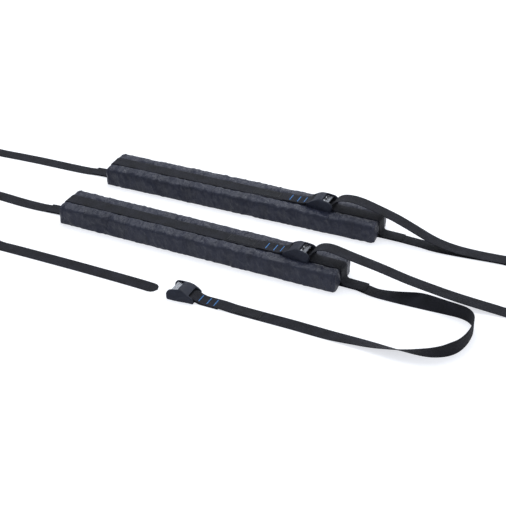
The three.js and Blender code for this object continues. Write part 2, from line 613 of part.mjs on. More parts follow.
// The bumper from the side: up from the neck's end over the lip to the crest, and down the wings.
function bumperProfile() {
  const low = -BUCKLE_LIFT;
  const shape = new THREE.Shape();
  shape.moveTo(BUMPER_START, low);
  shape.lineTo(BUMPER_END - 3, low);
  shape.quadraticCurveTo(BUMPER_END, low + 1, BUMPER_END, low + 6);
  shape.quadraticCurveTo(BUMPER_END - 1, WING_TOP - 1.5, BUMPER_END - 9, WING_TOP);
  shape.lineTo(CREST_TO + 3, (WING_TOP + CREST_TOP) / 2);
  shape.quadraticCurveTo(CREST_TO, CREST_TOP, CREST_FROM, CREST_TOP);
  shape.quadraticCurveTo(CREST_FROM - 4, CREST_TOP - 1, LIP_X, LIP_TOP);
  shape.quadraticCurveTo(LIP_X - 4, LIP_TOP - 1.8, BUMPER_START, NECK_END_TOP);
  return shape;
}

// The bumper from its end: walls that lean in to rounded shoulders.
function bumperArch() {
  const half = [
    [WING_SPREAD, -BUCKLE_LIFT], [WING_SPREAD, 0.5], [EAR_OUTSIDE + 2.4, EAR_TOP - 1.9],
    [EAR_OUTSIDE + 1.6, EAR_TOP + 0.6], [EAR_OUTSIDE - 0.1, CREST_TOP - 1.8],
    [EAR_OUTSIDE - 2.7, CREST_TOP - 0.4], [EAR_OUTSIDE - 6, CREST_TOP + 0.1],
  ];
  const mirrored = half.map(([y, z]) => [-y, z]).reverse();
  const outline = new THREE.Shape([...half, ...mirrored].map(([y, z]) => new THREE.Vector2(y, z)));
  const length = BUMPER_END - BUMPER_START + 4;
  const geometry = new THREE.ExtrudeGeometry(outline, { depth: length, bevelEnabled: false });
  return geometry.rotateX(Math.PI / 2).rotateZ(Math.PI / 2).translate(BUMPER_START - 2, 0, 0);
}

function bumper() {
  const low = -BUCKLE_LIFT;
  const tall = CREST_TOP + BUCKLE_LIFT + 4;
  const plan = new THREE.ExtrudeGeometry(bumperPlan(), { depth: tall, bevelEnabled: false });
  const side = sideExtrude(bumperProfile(), 2 * WING_SPREAD + 4, 5);
  const ears = new THREE.Shape([
    [FRAME_START - GAP, -BUMPER_UNDER], [FLOOR_END + 9, -BUMPER_UNDER], [FLOOR_END + 9, 0],
    [FRAME_END + GAP, 0], [FRAME_END + GAP, 5.7], [PIN_X + 4.2, EAR_TOP + GAP],
    [PIN_X - 4.2, EAR_TOP + GAP], [BAR_X + 2.3, EAR_LOW + GAP], [FRAME_START - GAP, EAR_LOW + GAP],
  ].map(([x, z]) => new THREE.Vector2(x, z)));
  const room = sideExtrude(ears, 2 * (EAR_OUTSIDE + GAP));
  const strapHalf = WEB_WIDTH / 2 + GAP;
  const neck = box([BUMPER_START - 9, -strapHalf, -BUMPER_UNDER], [LIP_X, strapHalf, 40]);
  const throat = box([LIP_X - 1, -strapHalf, -BUMPER_UNDER], [CREST_FROM, strapHalf, THROAT_TOP]);
  const notch = box([CREST_TO, -EAR_INSIDE / 2, -BUMPER_UNDER], [60, EAR_INSIDE / 2, 40]);
  const block = solidOf(plan.translate(0, 0, low)).intersect(solidOf(side)).intersect(solidOf(bumperArch()));
  const cuts = [room, neck, throat, notch].map(solidOf);
  return geometryOf(cuts.reduce((body, cut) => body.subtract(cut), block));
}

// A whole buckle as a group in its own frame, with its bumper standing on Z = 0.
function buckle(name) {
  const group = new THREE.Group();
  group.add(
    meshOf(name + "_bumper", bumper(), "rubber"),
    meshOf(name + "_frame", buckleFrame(), "metal"),
    meshOf(name + "_cam", buckleCam(), "metal"),
    meshOf(name + "_pin", bucklePin(), "metal"),
    meshOf(name + "_spring", buckleSpring(), "metal"),
  );
  group.children.forEach((piece) => piece.position.setZ(BUCKLE_LIFT));
  return group;
}

function rack({ name, x, y, turn, buckleFromEnd }) {
  const group = new THREE.Group();
  const buckleX = PAD_LENGTH / 2 - buckleFromEnd;
  const topBuckle = buckle(name + "_top_buckle");
  topBuckle.position.set(buckleX, 0, PAD_HEIGHT + GAP);
  const topLabel = meshOf(name + "_top_label", label(), "label");
  topLabel.position.set(buckleX - LABEL_FROM_BUCKLE, 0, PAD_HEIGHT + GAP + WEB_THICK + GAP);
  group.add(
    meshOf(name + "_pad_cover", padCover(), "nylon"),
    meshOf(name + "_foam_core", foamCore(), "foam"),
    meshOf(name + "_car_strap_inside", innerStrap(), "webbing"),
    meshOf(name + "_top_strap_left", topStrapLeft(buckleX), "webbing"),
    meshOf(name + "_top_strap_right", topStrapRight(buckleX), "webbing"),
    topLabel,
    topBuckle,
  );
  group.position.set(x, y, 0);
  group.rotation.z = THREE.MathUtils.degToRad(turn);
  return group;
}

// A free buckle, with the fold of strap on its bar, turned to the two directions given.
function freeBuckle({ name, x, y, z, alongX, alongY, fold }) {
  const group = buckle(name + "_car_buckle");
  const ply = meshOf(name + "_car_strap_fold", strapFold(fold), "webbing");
  ply.position.setZ(BUCKLE_LIFT);
  group.add(ply);
  const right = new THREE.Vector3(...alongX);
  const back = new THREE.Vector3(...alongY);
  group.setRotationFromMatrix(new THREE.Matrix4().makeBasis(right, back, right.clone().cross(back)));
  group.position.set(x, y, z);
  return group;
}

// The outer shape of one coil of strap, lying just over the floor.
function coil({ inner, outer }) {
  const r0 = inner - WEB_THICK;
  const r1 = outer + WEB_THICK / 2;
  const profile = [[r0, 0], [r1, 0], [r1, WEB_WIDTH], [r0, WEB_WIDTH], [r0, 0]];
  const points = profile.map(([r, z]) => new THREE.Vector2(r, z + COIL_LIFT));
  return new THREE.LatheGeometry(points, COIL_SEGMENTS).rotateX(Math.PI / 2);
}

function roundedOutline(x0, z0, x1, z1, round) {
  const shape = new THREE.Shape();
  shape.absarc(x1 - round, z1 - round, round, 0, Math.PI / 2, false);
  shape.absarc(x0 + round, z1 - round, round, Math.PI / 2, Math.PI, false);
  shape.absarc(x0 + round, z0 + round, round, Math.PI, 3 * Math.PI / 2, false);
  shape.absarc(x1 - round, z0 + round, round, 3 * Math.PI / 2, 2 * Math.PI, false);
  return shape;
}

// The tie round the turns of a coil, at the side that faces +X.
function tie({ inner, outer }) {
  const x0 = inner - WEB_THICK - TIE_ROOM;
  const x1 = outer + WEB_THICK / 2 + GAP;
  const z1 = COIL_LIFT + WEB_WIDTH + GAP;
  const outside = roundedOutline(
    x0 - TIE_THICK, 0, x1 + TIE_THICK, z1 + TIE_THICK, TIE_ROUND + TIE_THICK,
  );
  outside.holes.push(roundedOutline(x0, TIE_THICK, x1, z1, TIE_ROUND));
  return sideExtrude(outside, TIE_WIDTH, 3);
}

function coilWithTie(spec) {
  const group = new THREE.Group();
  const band = meshOf(spec.name.replace("_coil", "_tie"), tie(spec), "webbing");
  band.rotation.z = THREE.MathUtils.degToRad(spec.tie);
  group.add(meshOf(spec.name, coil(spec), "webbing"), band);
  group.position.set(spec.x, spec.y, 0);
  return group;
}

function carLabel() {
  const front = FREE_BUCKLES[0];
  const mesh = meshOf("front_car_label", label(), "label");
  mesh.position.set(front.x + LABEL_FROM_BUCKLE + 8, front.y, WEB_THICK + 2 * GAP);
  return mesh;
}

const roofRack = new THREE.Group();
roofRack.add(
  ...RACKS.map(rack),
  ...FREE_BUCKLES.map(freeBuckle),
  ...COILS.map(coilWithTie),
  ...Object.entries(STRAP_ROUTES).map(
    ([name, route]) => meshOf(name, routeStrap(route, name === ROUNDED_TIP), "webbing"),
  ),
  carLabel(),
);

export default roofRack;
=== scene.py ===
"""Soft roof racks for carrying a board, laid out on a white floor.

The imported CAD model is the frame. The free straps, the sewn straps on the pads, the cloth
covers, the labels, the stitching and the ties are modelled here, and the metal and the rubber
of the buckles are CAD nodes with rounded edges and materials of their own.
All lengths are in metres and all angles in degrees unless a name says otherwise.
"""

import math

import bmesh
import bpy
from mathutils import Matrix, Vector, noise


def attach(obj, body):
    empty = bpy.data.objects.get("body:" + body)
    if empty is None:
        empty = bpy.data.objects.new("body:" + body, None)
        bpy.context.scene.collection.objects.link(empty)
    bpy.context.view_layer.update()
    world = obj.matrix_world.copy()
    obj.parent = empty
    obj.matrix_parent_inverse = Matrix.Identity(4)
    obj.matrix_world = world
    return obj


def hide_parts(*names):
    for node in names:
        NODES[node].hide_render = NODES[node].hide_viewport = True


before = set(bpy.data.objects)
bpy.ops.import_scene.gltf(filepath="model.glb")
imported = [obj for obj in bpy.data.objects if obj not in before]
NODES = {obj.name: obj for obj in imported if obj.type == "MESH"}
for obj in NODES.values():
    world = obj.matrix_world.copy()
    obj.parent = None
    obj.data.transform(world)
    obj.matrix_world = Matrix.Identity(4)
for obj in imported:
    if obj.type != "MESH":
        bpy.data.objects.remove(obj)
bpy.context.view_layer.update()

# Camera: the photograph's own view, solved from the two parallel pads.
FOCAL_PIXELS = 1300
IMAGE_LONG_SIDE = 512
SENSOR_MM = 36
CAMERA_AT = (0.8668, -1.6316, 1.1467)
CAMERA_LOOKS_AT = (0.0912, 0.0119, 0)

# Sizes shared with the part's source.
GAP = 0.0003
WEB_WIDTH = 0.025
WEB_THICK = 0.0013
TIP_RADIUS = WEB_WIDTH / 2
TIP_LEAST = 0.05
PLY_STEP = WEB_THICK + GAP
FLAT_Z = WEB_THICK / 2
PAD_LENGTH = 0.508
PAD_WIDTH = 0.067
PAD_HEIGHT = 0.032
COVER_WALL = 0.0009
PATCH_LENGTH = 0.042
PATCH_RISE = 0.00265
END_BEND = 0.0046
END_BULGE = 0.0015
FOLD_LENGTH = 0.0495
CORE_FOLD_LENGTH = 0.008
NECK_LENGTH = 0.023
LABEL_LENGTH = 0.05
LABEL_WIDTH = 0.019
LABEL_FROM_BUCKLE = 0.1015
BUCKLE_LIFT = 0.0039
BASE_THICK = 0.0018
BASE_START = -0.007
FRAME_END = 0.016
FLOOR_END = 0.017
BAR_X = -0.0145
BAR_Z = 0.0022
LOOP_BEND = 0.00255
RUN_UNDER = -0.00095
RUN_OVER = 0.00275
RUN_BEND = 0.00185
TACKS_FROM_BUCKLE = (0.0292, 0.0428, 0.0564)
TIE_WIDTH = 0.016
TIE_THICK = 0.001
TIE_BEND = 0.0012
TIE_SLACK = 0.0017
COIL_LIFT = 0.0013
COIL_LOOP = 0.03
COIL_LOOP_HALF = 0.015
COIL_LAST_STEP = 0.005

# Real lengths of the free straps.
COILED_LENGTHS = (("front_top_tail", 0.92), ("rear_car_strap_left", 2.07), ("rear_top_tail", 0.92))

QUARTER_TURN = (0, 30, 60, 90)
RACKS = (
    {"name": "front", "x": 0, "y": 0, "turn": 0, "buckle_x": PAD_LENGTH / 2 - 0.075},
    {"name": "rear", "x": 0.002, "y": 0.159, "turn": 1.55, "buckle_x": PAD_LENGTH / 2 - 0.1057},
)
FREE_BUCKLES = (
    {
        "name": "front", "at": (0.044, -0.141, 0), "along_x": (-1, 0, 0), "along_y": (0, -1, 0),
        "fold": FOLD_LENGTH,
    },
    {
        "name": "rear", "at": (0.642, 0.1016, 0.02), "along_x": (0, -1, 0), "along_y": (0, 0, 1),
        "fold": CORE_FOLD_LENGTH,
    },
)
# A coil's turns are (last radius, first angle, last angle), and start at its outer radius.
COILS = {
    "front_car_strap_left": {"at": (-0.47, -0.077), "inner": 0.029, "outer": 0.075, "tie": 200},
    "rear_car_strap_left": {
        "at": (-0.575, 0.056), "inner": 0.031, "outer": 0.081, "tie": 200, "turns": (0.0315, 90, 1872),
    },
    "front_top_tail": {
        "at": (0.62, -0.025), "inner": 0.034, "outer": 0.052, "tie": -60, "turns": (0.0345, 90, -540),
    },
    "rear_car_strap_right": {
        "at": (0.607, 0.098), "inner": 0.046, "outer": 0.056, "tie": -90, "turns": (0.046, 90, -180),
    },
    "rear_top_tail": {
        "at": (0.607, 0.252), "inner": 0.034, "outer": 0.052, "tie": 60, "turns": (0.0345, -90, 540),
    },
}

# The free straps' routes, as in the part's source. A point is (x, y, lift, lean): lift is the
# height of the lower edge, and lean turns the strap from flat (0) to standing on edge (90).
ROUTES = {
    "front_car_strap_right": [
        (0.2552, 0, 0.0012, 0), (0.264, 0, 0.0011, 0), (0.275, 0, 0.001, 0), (0.286, -0.0003, 0.0008, 0),
        (0.297, -0.0024, 0.0005, 0), (0.311, -0.0049, 0.0001, 0), (0.326, -0.0061, 0, 4),
        (0.342, -0.0065, 0, 11), (0.358, -0.007, 0, 21), (0.374, -0.008, 0, 35), (0.39, -0.0097, 0, 52),
        (0.405, -0.0117, 0, 67), (0.42, -0.013, 0, 78), (0.436, -0.014, 0, 86), (0.451, -0.0146, 0, 90),
        (0.464, -0.017, 0, 90), (0.4745, -0.023, 0, 90), (0.4815, -0.033, 0, 90), (0.485, -0.046, 0, 90),
        (0.486, -0.06, 0, 90), (0.4855, -0.075, 0, 90), (0.483, -0.09, 0, 90), (0.4785, -0.103, 0, 90),
        (0.471, -0.1145, 0, 89), (0.4605, -0.1255, 0, 80), (0.447, -0.134, 0, 70), (0.432, -0.139, 0, 59),
        (0.416, -0.1418, 0, 47), (0.399, -0.143, 0, 36), (0.383, -0.1431, 0, 27), (0.367, -0.1428, 0, 19),
        (0.35, -0.1425, 0, 13), (0.332, -0.1424, 0, 9), (0.314, -0.1425, 0, 5), (0.29, -0.1424, 0, 1),
        (0.26, -0.1417, 0, 0), (0.23, -0.141, 0, 0), (0.195, -0.141, 0, 0), (0.16, -0.141, 0, 0),
        (0.132, -0.141, 0.0003, 0), (0.112, -0.141, 0.0017, 0), (0.094, -0.141, 0.0017, 0),
        (0.08, -0.141, 0.0018, 0), (0.07, -0.141, 0.0042, 0), (0.0645, -0.141, 0.007, 0),
        (0.0588, -0.141, 0.008, 0),
    ],
    "front_car_strap_left": [
        (-0.2552, 0, 0.0012, 0), (-0.264, 0, 0.0011, 0), (-0.275, -0.0003, 0.001, 0),
        (-0.286, -0.001, 0.0008, 0), (-0.297, -0.0014, 0.0005, 0), (-0.309, -0.002, 0, 0),
        (-0.322, -0.0025, 0, 0), (-0.337, -0.0027, 0, 0), (-0.352, -0.0024, 0, 0), (-0.368, -0.0016, 0, 0),
        (-0.384, -0.0006, 0, 0), (-0.4, 0.0002, 0, 2), (-0.414, 0.0002, 0.0002, 24),
        (-0.428, -0.0006, 0.0006, 52), (-0.442, -0.0015, 0.0011, 78), (-0.454, -0.002, 0.0013, 90),
    ],
    "front_car_strap_end": [
        (-0.4, -0.109, 0.0013, 90), (-0.399, -0.118, 0.0012, 90), (-0.3945, -0.1275, 0.001, 88),
        (-0.386, -0.1345, 0.0007, 81), (-0.374, -0.1385, 0.0004, 69), (-0.36, -0.14, 0.0002, 53),
        (-0.346, -0.1404, 0, 37), (-0.332, -0.1405, 0, 21), (-0.319, -0.1404, 0, 7),
        (-0.306, -0.1403, 0, 0), (-0.28, -0.14, 0, 0), (-0.25, -0.1397, 0, 0), (-0.215, -0.1396, 0, 0),
        (-0.18, -0.1395, 0, 0), (-0.145, -0.1396, 0, 0), (-0.11, -0.14, 0, 0), (-0.075, -0.1405, 0, 0),
        (-0.045, -0.1412, 0, 0), (-0.024, -0.142, 0, 0), (-0.003, -0.1433, 0, 0),
    ],
    "front_top_tail": [
        (0.1953, 0, 0.0383, 0), (0.1976, 0, 0.0385, 0), (0.1998, 0, 0.0402, 0), (0.2023, 0.0001, 0.044, 0),
        (0.2055, 0.0003, 0.0486, 0), (0.2102, 0.0005, 0.053, 0), (0.2165, 0.0007, 0.0562, 0),
        (0.224, 0.0009, 0.058, 0), (0.2325, 0.0011, 0.0583, 0), (0.242, 0.0014, 0.057, 0),
        (0.254, 0.0019, 0.0544, 0), (0.268, 0.0026, 0.0512, 0), (0.285, 0.0034, 0.0477, 0),
        (0.303, 0.0044, 0.0441, 0), (0.322, 0.0056, 0.0398, 0), (0.341, 0.0071, 0.0348, 0),
        (0.36, 0.0092, 0.0296, 0), (0.38, 0.0118, 0.0247, 0), (0.4, 0.0146, 0.0201, 0),
        (0.42, 0.0175, 0.0155, 0), (0.44, 0.0203, 0.0115, 0), (0.46, 0.0228, 0.0082, 0),
        (0.48, 0.025, 0.0054, 0), (0.5, 0.0267, 0.003, 0), (0.516, 0.0277, 0.0014, 0),
        (0.532, 0.0282, 0.0003, 8), (0.548, 0.0282, 0.0002, 28), (0.564, 0.0279, 0.0006, 52),
        (0.58, 0.0274, 0.001, 74), (0.594, 0.0269, 0.0013, 88), (0.605, 0.02645, 0.0013, 90),
    ],
    "rear_car_strap_left": [
        (-0.2531, 0.1521, 0.0012, 0), (-0.262, 0.1518, 0.0011, 0), (-0.273, 0.1513, 0.001, 0),
        (-0.284, 0.1505, 0.0008, 0), (-0.295, 0.1493, 0.0005, 0), (-0.307, 0.1478, 0, 0),
        (-0.321, 0.1467, 0, 0), (-0.337, 0.1459, 0, 0), (-0.354, 0.1453, 0, 0), (-0.372, 0.1448, 0, 0),
        (-0.392, 0.1442, 0, 0), (-0.412, 0.1434, 0, 0), (-0.432, 0.1423, 0, 0), (-0.452, 0.141, 0, 0),
        (-0.472, 0.1395, 0, 0), (-0.492, 0.138, 0, 2), (-0.508, 0.1373, 0.0002, 22),
        (-0.524, 0.137, 0.0006, 48), (-0.54, 0.137, 0.001, 74), (-0.552, 0.137, 0.0013, 88),
        (-0.56, 0.137, 0.0013, 90),
    ],
    "rear_car_strap_right": [
        (0.2571, 0.1659, 0.0012, 0), (0.266, 0.16614, 0.0011, 0), (0.277, 0.16644, 0.001, 0),
        (0.288, 0.1668, 0.0008, 0), (0.299, 0.1671, 0.0005, 0), (0.311, 0.1671, 0, 0),
        (0.323, 0.1666, 0, 0), (0.336, 0.1658, 0, 0), (0.35, 0.1639, 0, 0), (0.366, 0.1637, 0, 0),
        (0.384, 0.1647, 0, 0), (0.402, 0.1664, 0, 0), (0.42, 0.1684, 0, 0), (0.438, 0.1705, 0, 0),
        (0.456, 0.1724, 0, 0), (0.474, 0.1735, 0, 0), (0.49, 0.1725, 0, 0), (0.506, 0.169, 0, 0),
        (0.522, 0.164, 0, 0), (0.538, 0.1595, 0, 6), (0.552, 0.1565, 0.0003, 32),
        (0.566, 0.1548, 0.0008, 62), (0.58, 0.1537, 0.0013, 86), (0.591, 0.1533, 0.0013, 90),
    ],
    "rear_car_strap_core": [
        (0.5694, 0.1197, 0.0013, 90), (0.5763, 0.1287, 0.0015, 90), (0.5853, 0.1356, 0.0022, 90),
        (0.5958, 0.1399, 0.0034, 90), (0.607, 0.1414, 0.0048, 90), (0.6165, 0.1405, 0.006, 90),
        (0.6225, 0.1386, 0.0067, 90), (0.6275, 0.1354, 0.0072, 90), (0.6309, 0.131, 0.0074, 90),
        (0.6328, 0.126, 0.0075, 90), (0.6333, 0.121, 0.0075, 90), (0.63335, 0.1164, 0.0075, 90),
    ],
    "rear_top_tail": [
        (0.1666, 0.16345, 0.0383, 0), (0.1689, 0.1635, 0.0385, 0), (0.1711, 0.16355, 0.0402, 0),
        (0.1737, 0.1636, 0.044, 0), (0.177, 0.1637, 0.0482, 0), (0.182, 0.1638, 0.052, 0),
        (0.1885, 0.164, 0.0547, 0), (0.197, 0.1643, 0.0562, 0), (0.207, 0.1646, 0.0565, 0),
        (0.218, 0.1649, 0.0555, 0), (0.23, 0.165, 0.0532, 0), (0.243, 0.165, 0.05, 0),
        (0.256, 0.165, 0.0466, 0), (0.27, 0.1646, 0.043, 0), (0.285, 0.164, 0.039, 0),
        (0.3, 0.1634, 0.034, 0), (0.315, 0.163, 0.0285, 0), (0.33, 0.1628, 0.0226, 0),
        (0.345, 0.1628, 0.0168, 0), (0.361, 0.1632, 0.0118, 0), (0.378, 0.1642, 0.008, 0),
        (0.395, 0.1655, 0.0054, 0), (0.413, 0.167, 0.0039, 0), (0.432, 0.1688, 0.003, 0),
        (0.452, 0.1708, 0.0026, 0), (0.472, 0.1732, 0.0024, 0), (0.488, 0.1768, 0.0022, 0),
        (0.504, 0.182, 0.002, 0), (0.52, 0.188, 0.0018, 0), (0.536, 0.193, 0.0009, 4),
        (0.552, 0.1965, 0.0004, 24), (0.566, 0.1985, 0.0008, 50), (0.58, 0.1999, 0.0012, 78),
        (0.591, 0.20085, 0.0013, 90),
    ],
}


def rotation(turn):
    return Matrix.Rotation(math.radians(turn), 4, "Z")


# Paths. A station is (centre, across, along) at one place on a strap.


def catmull(points, step):
    """Points and their extra numbers along a smooth curve, about a step apart."""
    count = len(points)
    out = []
    for i in range(count - 1):
        p0, p1, p2, p3 = (points[min(max(i + k, 0), count - 1)] for k in (-1, 0, 1, 2))
        gap = math.dist(p1[:3], p2[:3])
        pieces = max(1, round(gap / step))
        for j in range(pieces):
            t = j / pieces
            out.append(tuple(
                0.5 * (2 * b + (c - a) * t + (2 * a - 5 * b + 4 * c - d) * t * t
                       + (3 * b - 3 * c + d - a) * t ** 3)
                for a, b, c, d in zip(p0, p1, p2, p3)
            ))
    out.append(tuple(points[-1]))
    return out


def lifted(route):
    """Route points turned into (x, y, z of the middle, lean)."""
    out = []
    for x, y, lift, lean in route:
        tilt = math.radians(lean)
        z = lift + (WEB_WIDTH * math.sin(tilt) + WEB_THICK * math.cos(tilt)) / 2
        out.append((x, y, z, lean))
    return out


def spiral(x, y, radius_from, radius_to, angle_from, angle_to, turn_points=24):
    """A standing strap's turns round a centre, as route points."""
    count = round(abs(angle_to - angle_from) / 360 * turn_points)
    out = []
    for i in range(count + 1):
        share = i / count
        angle = math.radians(angle_from + (angle_to - angle_from) * share)
        radius = radius_from + (radius_to - radius_from) * share
        out.append((x + radius * math.cos(angle), y + radius * math.sin(angle), COIL_LIFT, 90))
    return out


def route_stations(route, step=0.004):
    """Stations of a strap that lies, twists and stands along a route."""
    dense = catmull(lifted(route), step)
    out = []
    for i, (x, y, z, lean) in enumerate(dense):
        before = Vector(dense[max(i - 1, 0)][:3])
        after = Vector(dense[min(i + 1, len(dense) - 1)][:3])
        along = (after - before).normalized()
        heading = Vector((along.x, along.y, 0)).normalized()
        tilt = math.radians(lean)
        across = Vector((-heading.y, heading.x, 0)) * math.cos(tilt)
        across.z = math.sin(tilt)
        out.append((Vector((x, y, z)), across, along))
    return out


def profile_stations(points, matrix, step=0.002):
    """Stations of a strap whose side view is a list of (x, z), carried by a matrix."""
    dense = catmull([(x, 0, z) for x, z in points], step)
    side = matrix.to_3x3() @ Vector((0, 1, 0))
    centres = [matrix @ Vector(p) for p in dense]
    out = []
    for i, centre in enumerate(centres):
        along = (centres[min(i + 1, len(centres) - 1)] - centres[max(i - 1, 0)]).normalized()
        out.append((centre, side, along))
    return out


def length_of(stations):
    return sum((b[0] - a[0]).length for a, b in zip(stations, stations[1:]))


# Strap section: share of the half width, and share of the half thickness, once round.
WEB_TOP = (
    (1, 0.2), (0.965, 0.85), (0.9, 1), (0.45, 0.94), (0, 0.92),
    (-0.45, 0.94), (-0.9, 1), (-0.965, 0.85), (-1, 0.2),
)
WEB_SECTION = WEB_TOP + tuple((a, -t) for a, t in reversed(WEB_TOP))


def ribbon(name, stations, material, width=WEB_WIDTH, thick=WEB_THICK, tip=False, closed=False):
    """A woven strap along its stations, with UVs in metres along and across it."""
    mesh, uv = empty_mesh()
    total = length_of(stations)
    run = 0
    rings = []
    for i, (centre, across, along) in enumerate(stations):
        if i:
            run += (centre - stations[i - 1][0]).length
        side = (across - along * across.dot(along)).normalized()
        face = along.cross(side)
        left = total - run
        share = 1
        if tip and left < TIP_RADIUS:
            share = math.sqrt(max(1 - (1 - left / TIP_RADIUS) ** 2, TIP_LEAST ** 2))
        ring = []
        for a, t in WEB_SECTION:
            place = centre + side * (a * share * width / 2) + face * (t * thick / 2)
            ring.append((mesh.verts.new(place), (run, a * share * width / 2)))
        rings.append(ring)
    pairs = list(zip(rings, rings[1:]))
    if closed:
        pairs.append((rings[-1], rings[0]))
    for one, two in pairs:
        for k in range(len(one)):
            n = (k + 1) % len(one)
            corners, spots = zip(one[k], one[n], two[n], two[k])
            add_face(mesh, uv, corners, spots)
    if not closed:
        mesh.faces.new([c[0] for c in reversed(rings[0])])
        mesh.faces.new([c[0] for c in rings[-1]])
    bmesh.ops.recalc_face_normals(mesh, faces=mesh.faces[:])
    return finished(name, mesh, material)


def finished(name, mesh, material):
    """Turns a bmesh into an object with one material."""
    data = bpy.data.meshes.new(name)
    mesh.to_mesh(data)
    mesh.free()
    data.materials.append(material)
    piece = bpy.data.objects.new(name, data)
    bpy.context.scene.collection.objects.link(piece)
    return piece


def empty_mesh():
    """A new mesh and its map."""
    mesh = bmesh.new()
    return mesh, mesh.loops.layers.uv.new("strap")


def add_face(mesh, uv, corners, spots=None):
    """A smooth face, mapped by its spots or else by where its corners lie."""
    face = mesh.faces.new(corners)
    face.smooth = True
    for i, loop in enumerate(face.loops):
        loop[uv].uv = spots[i] if spots else loop.vert.co.xy


def placed(piece, body, slot, *nodes):
    """Rides a piece on a body and lets it stand for CAD nodes, which it hides; the slot is not used."""
    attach(piece, body)
    if nodes:
        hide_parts(*nodes)
    return piece


# Materials.


class Shader:
    """A material with its Principled shader and short ways to add nodes."""

    def __init__(self, name, color, roughness, **values):
        self.material = bpy.data.materials.new(name)
        self.material.use_nodes = True
        self.tree = self.material.node_tree
        self.bsdf = self.tree.nodes["Principled BSDF"]
        self.bsdf.inputs["Base Color"].default_value = (*color, 1)
        self.bsdf.inputs["Roughness"].default_value = roughness
        for key, value in values.items():
            self.bsdf.inputs[key.replace("_", " ")].default_value = value

    def add(self, kind, inputs=None, **settings):
        made = self.tree.nodes.new("ShaderNode" + kind)
        for key, value in settings.items():
            setattr(made, key, value)
        for key, value in (inputs or {}).items():
            if isinstance(value, bpy.types.NodeSocket):
                self.tree.links.new(value, made.inputs[key])
            else:
                made.inputs[key].default_value = value
        return made.outputs[0]

    def math(self, operation, a, b=0):
        return self.add("Math", {0: a, 1: b}, operation=operation)

    def noise(self, place, scale, detail=2, roughness=0.5):
        inputs = {"Vector": place, "Scale": scale, "Detail": detail, "Roughness": roughness}
        return self.add("TexNoise", inputs)

    def between(self, factor, low, high, start=0, stop=1):
        """Maps a factor from start..stop to low..high."""
        inputs = {"Value": factor, "From Min": start, "From Max": stop, "To Min": low, "To Max": high}
        return self.add("MapRange", inputs)

    def blend(self, factor, low, high):
        made = self.tree.nodes.new("ShaderNodeMix")
        made.data_type = "RGBA"
        self.tree.links.new(factor, made.inputs["Factor"])
        made.inputs["A"].default_value = (*low, 1)
        made.inputs["B"].default_value = (*high, 1)
        return made.outputs["Result"]

    def color(self, socket):
        self.tree.links.new(socket, self.bsdf.inputs["Base Color"])

    def roughness(self, socket):
        self.tree.links.new(socket, self.bsdf.inputs["Roughness"])

    def bump(self, height, distance, strength=1.0, normal=None):
        inputs = {"Height": height, "Distance": distance, "Strength": strength}
        if normal is not None:
            inputs["Normal"] = normal
        made = self.add("Bump", inputs)
        self.tree.links.new(made, self.bsdf.inputs["Normal"])
        return made

    def uv(self):
        """The two UV numbers, in metres."""
        made = self.tree.nodes.new("ShaderNodeUVMap")
        split = self.tree.nodes.new("ShaderNodeSeparateXYZ")
        self.tree.links.new(made.outputs[0], split.inputs[0])
        return made.outputs[0], split.outputs[0], split.outputs[1]

    def place(self):
        return self.tree.nodes.new("ShaderNodeTexCoord").outputs["Object"]


WEB_RIB = 0.0019
WEB_YARN = 0.00125
WEB_DARK = (0.0075, 0.0078, 0.0095)
WEB_LIGHT = (0.0195, 0.0205, 0.029)


def webbing_material(name="webbing", dark=WEB_DARK, light=WEB_LIGHT):
    """Polypropylene webbing: ribs across, yarns along, a little fuzz and uneven dye."""
    s = Shader(name, light, 0.75, Sheen_Weight=0.03, Sheen_Roughness=0.5, Specular_IOR_Level=0.16)
    vector, along, across = s.uv()
    yarn = s.math("SINE", s.math("MULTIPLY", across, 2 * math.pi / WEB_YARN))
    steps = s.math("MULTIPLY", along, 2 * math.pi / WEB_RIB)
    rib = s.math("SINE", s.math("ADD", steps, s.math("MULTIPLY", yarn, 0.9)))
    weave = s.math("ADD", s.math("MULTIPLY", rib, 0.6), s.math("MULTIPLY", yarn, 0.4))
    fuzz = s.noise(vector, 900, 3)
    height = s.math("ADD", weave, s.math("MULTIPLY", fuzz, 0.5))
    s.bump(height, 0.00022, 0.8)
    patches = s.noise(vector, 45, 3)
    tone = s.math("ADD", s.between(weave, 0.12, 0.6, -1, 1), s.between(patches, -0.25, 0.45, 0.3, 0.7))
    s.color(s.blend(tone, dark, light))
    s.roughness(s.between(weave, 0.85, 0.66, -1, 1))
    return s.material


NYLON_THREAD = 0.0011
# The painted highlight on the cover's fold and crease crests blends from NYLON_DARK towards NYLON_LIGHT.
NYLON_DARK = (0.007, 0.009, 0.0215)
NYLON_LIGHT = (0.0185, 0.023, 0.049)


def ridges(s, value):
    """Turns a smooth noise into sharp crests: 1 on the crest and 0 away from it."""
    away = s.math("ABSOLUTE", s.math("SUBTRACT", value, 0.5))
    return s.math("SUBTRACT", 1, s.between(away, 0, 1, 0, 0.17))


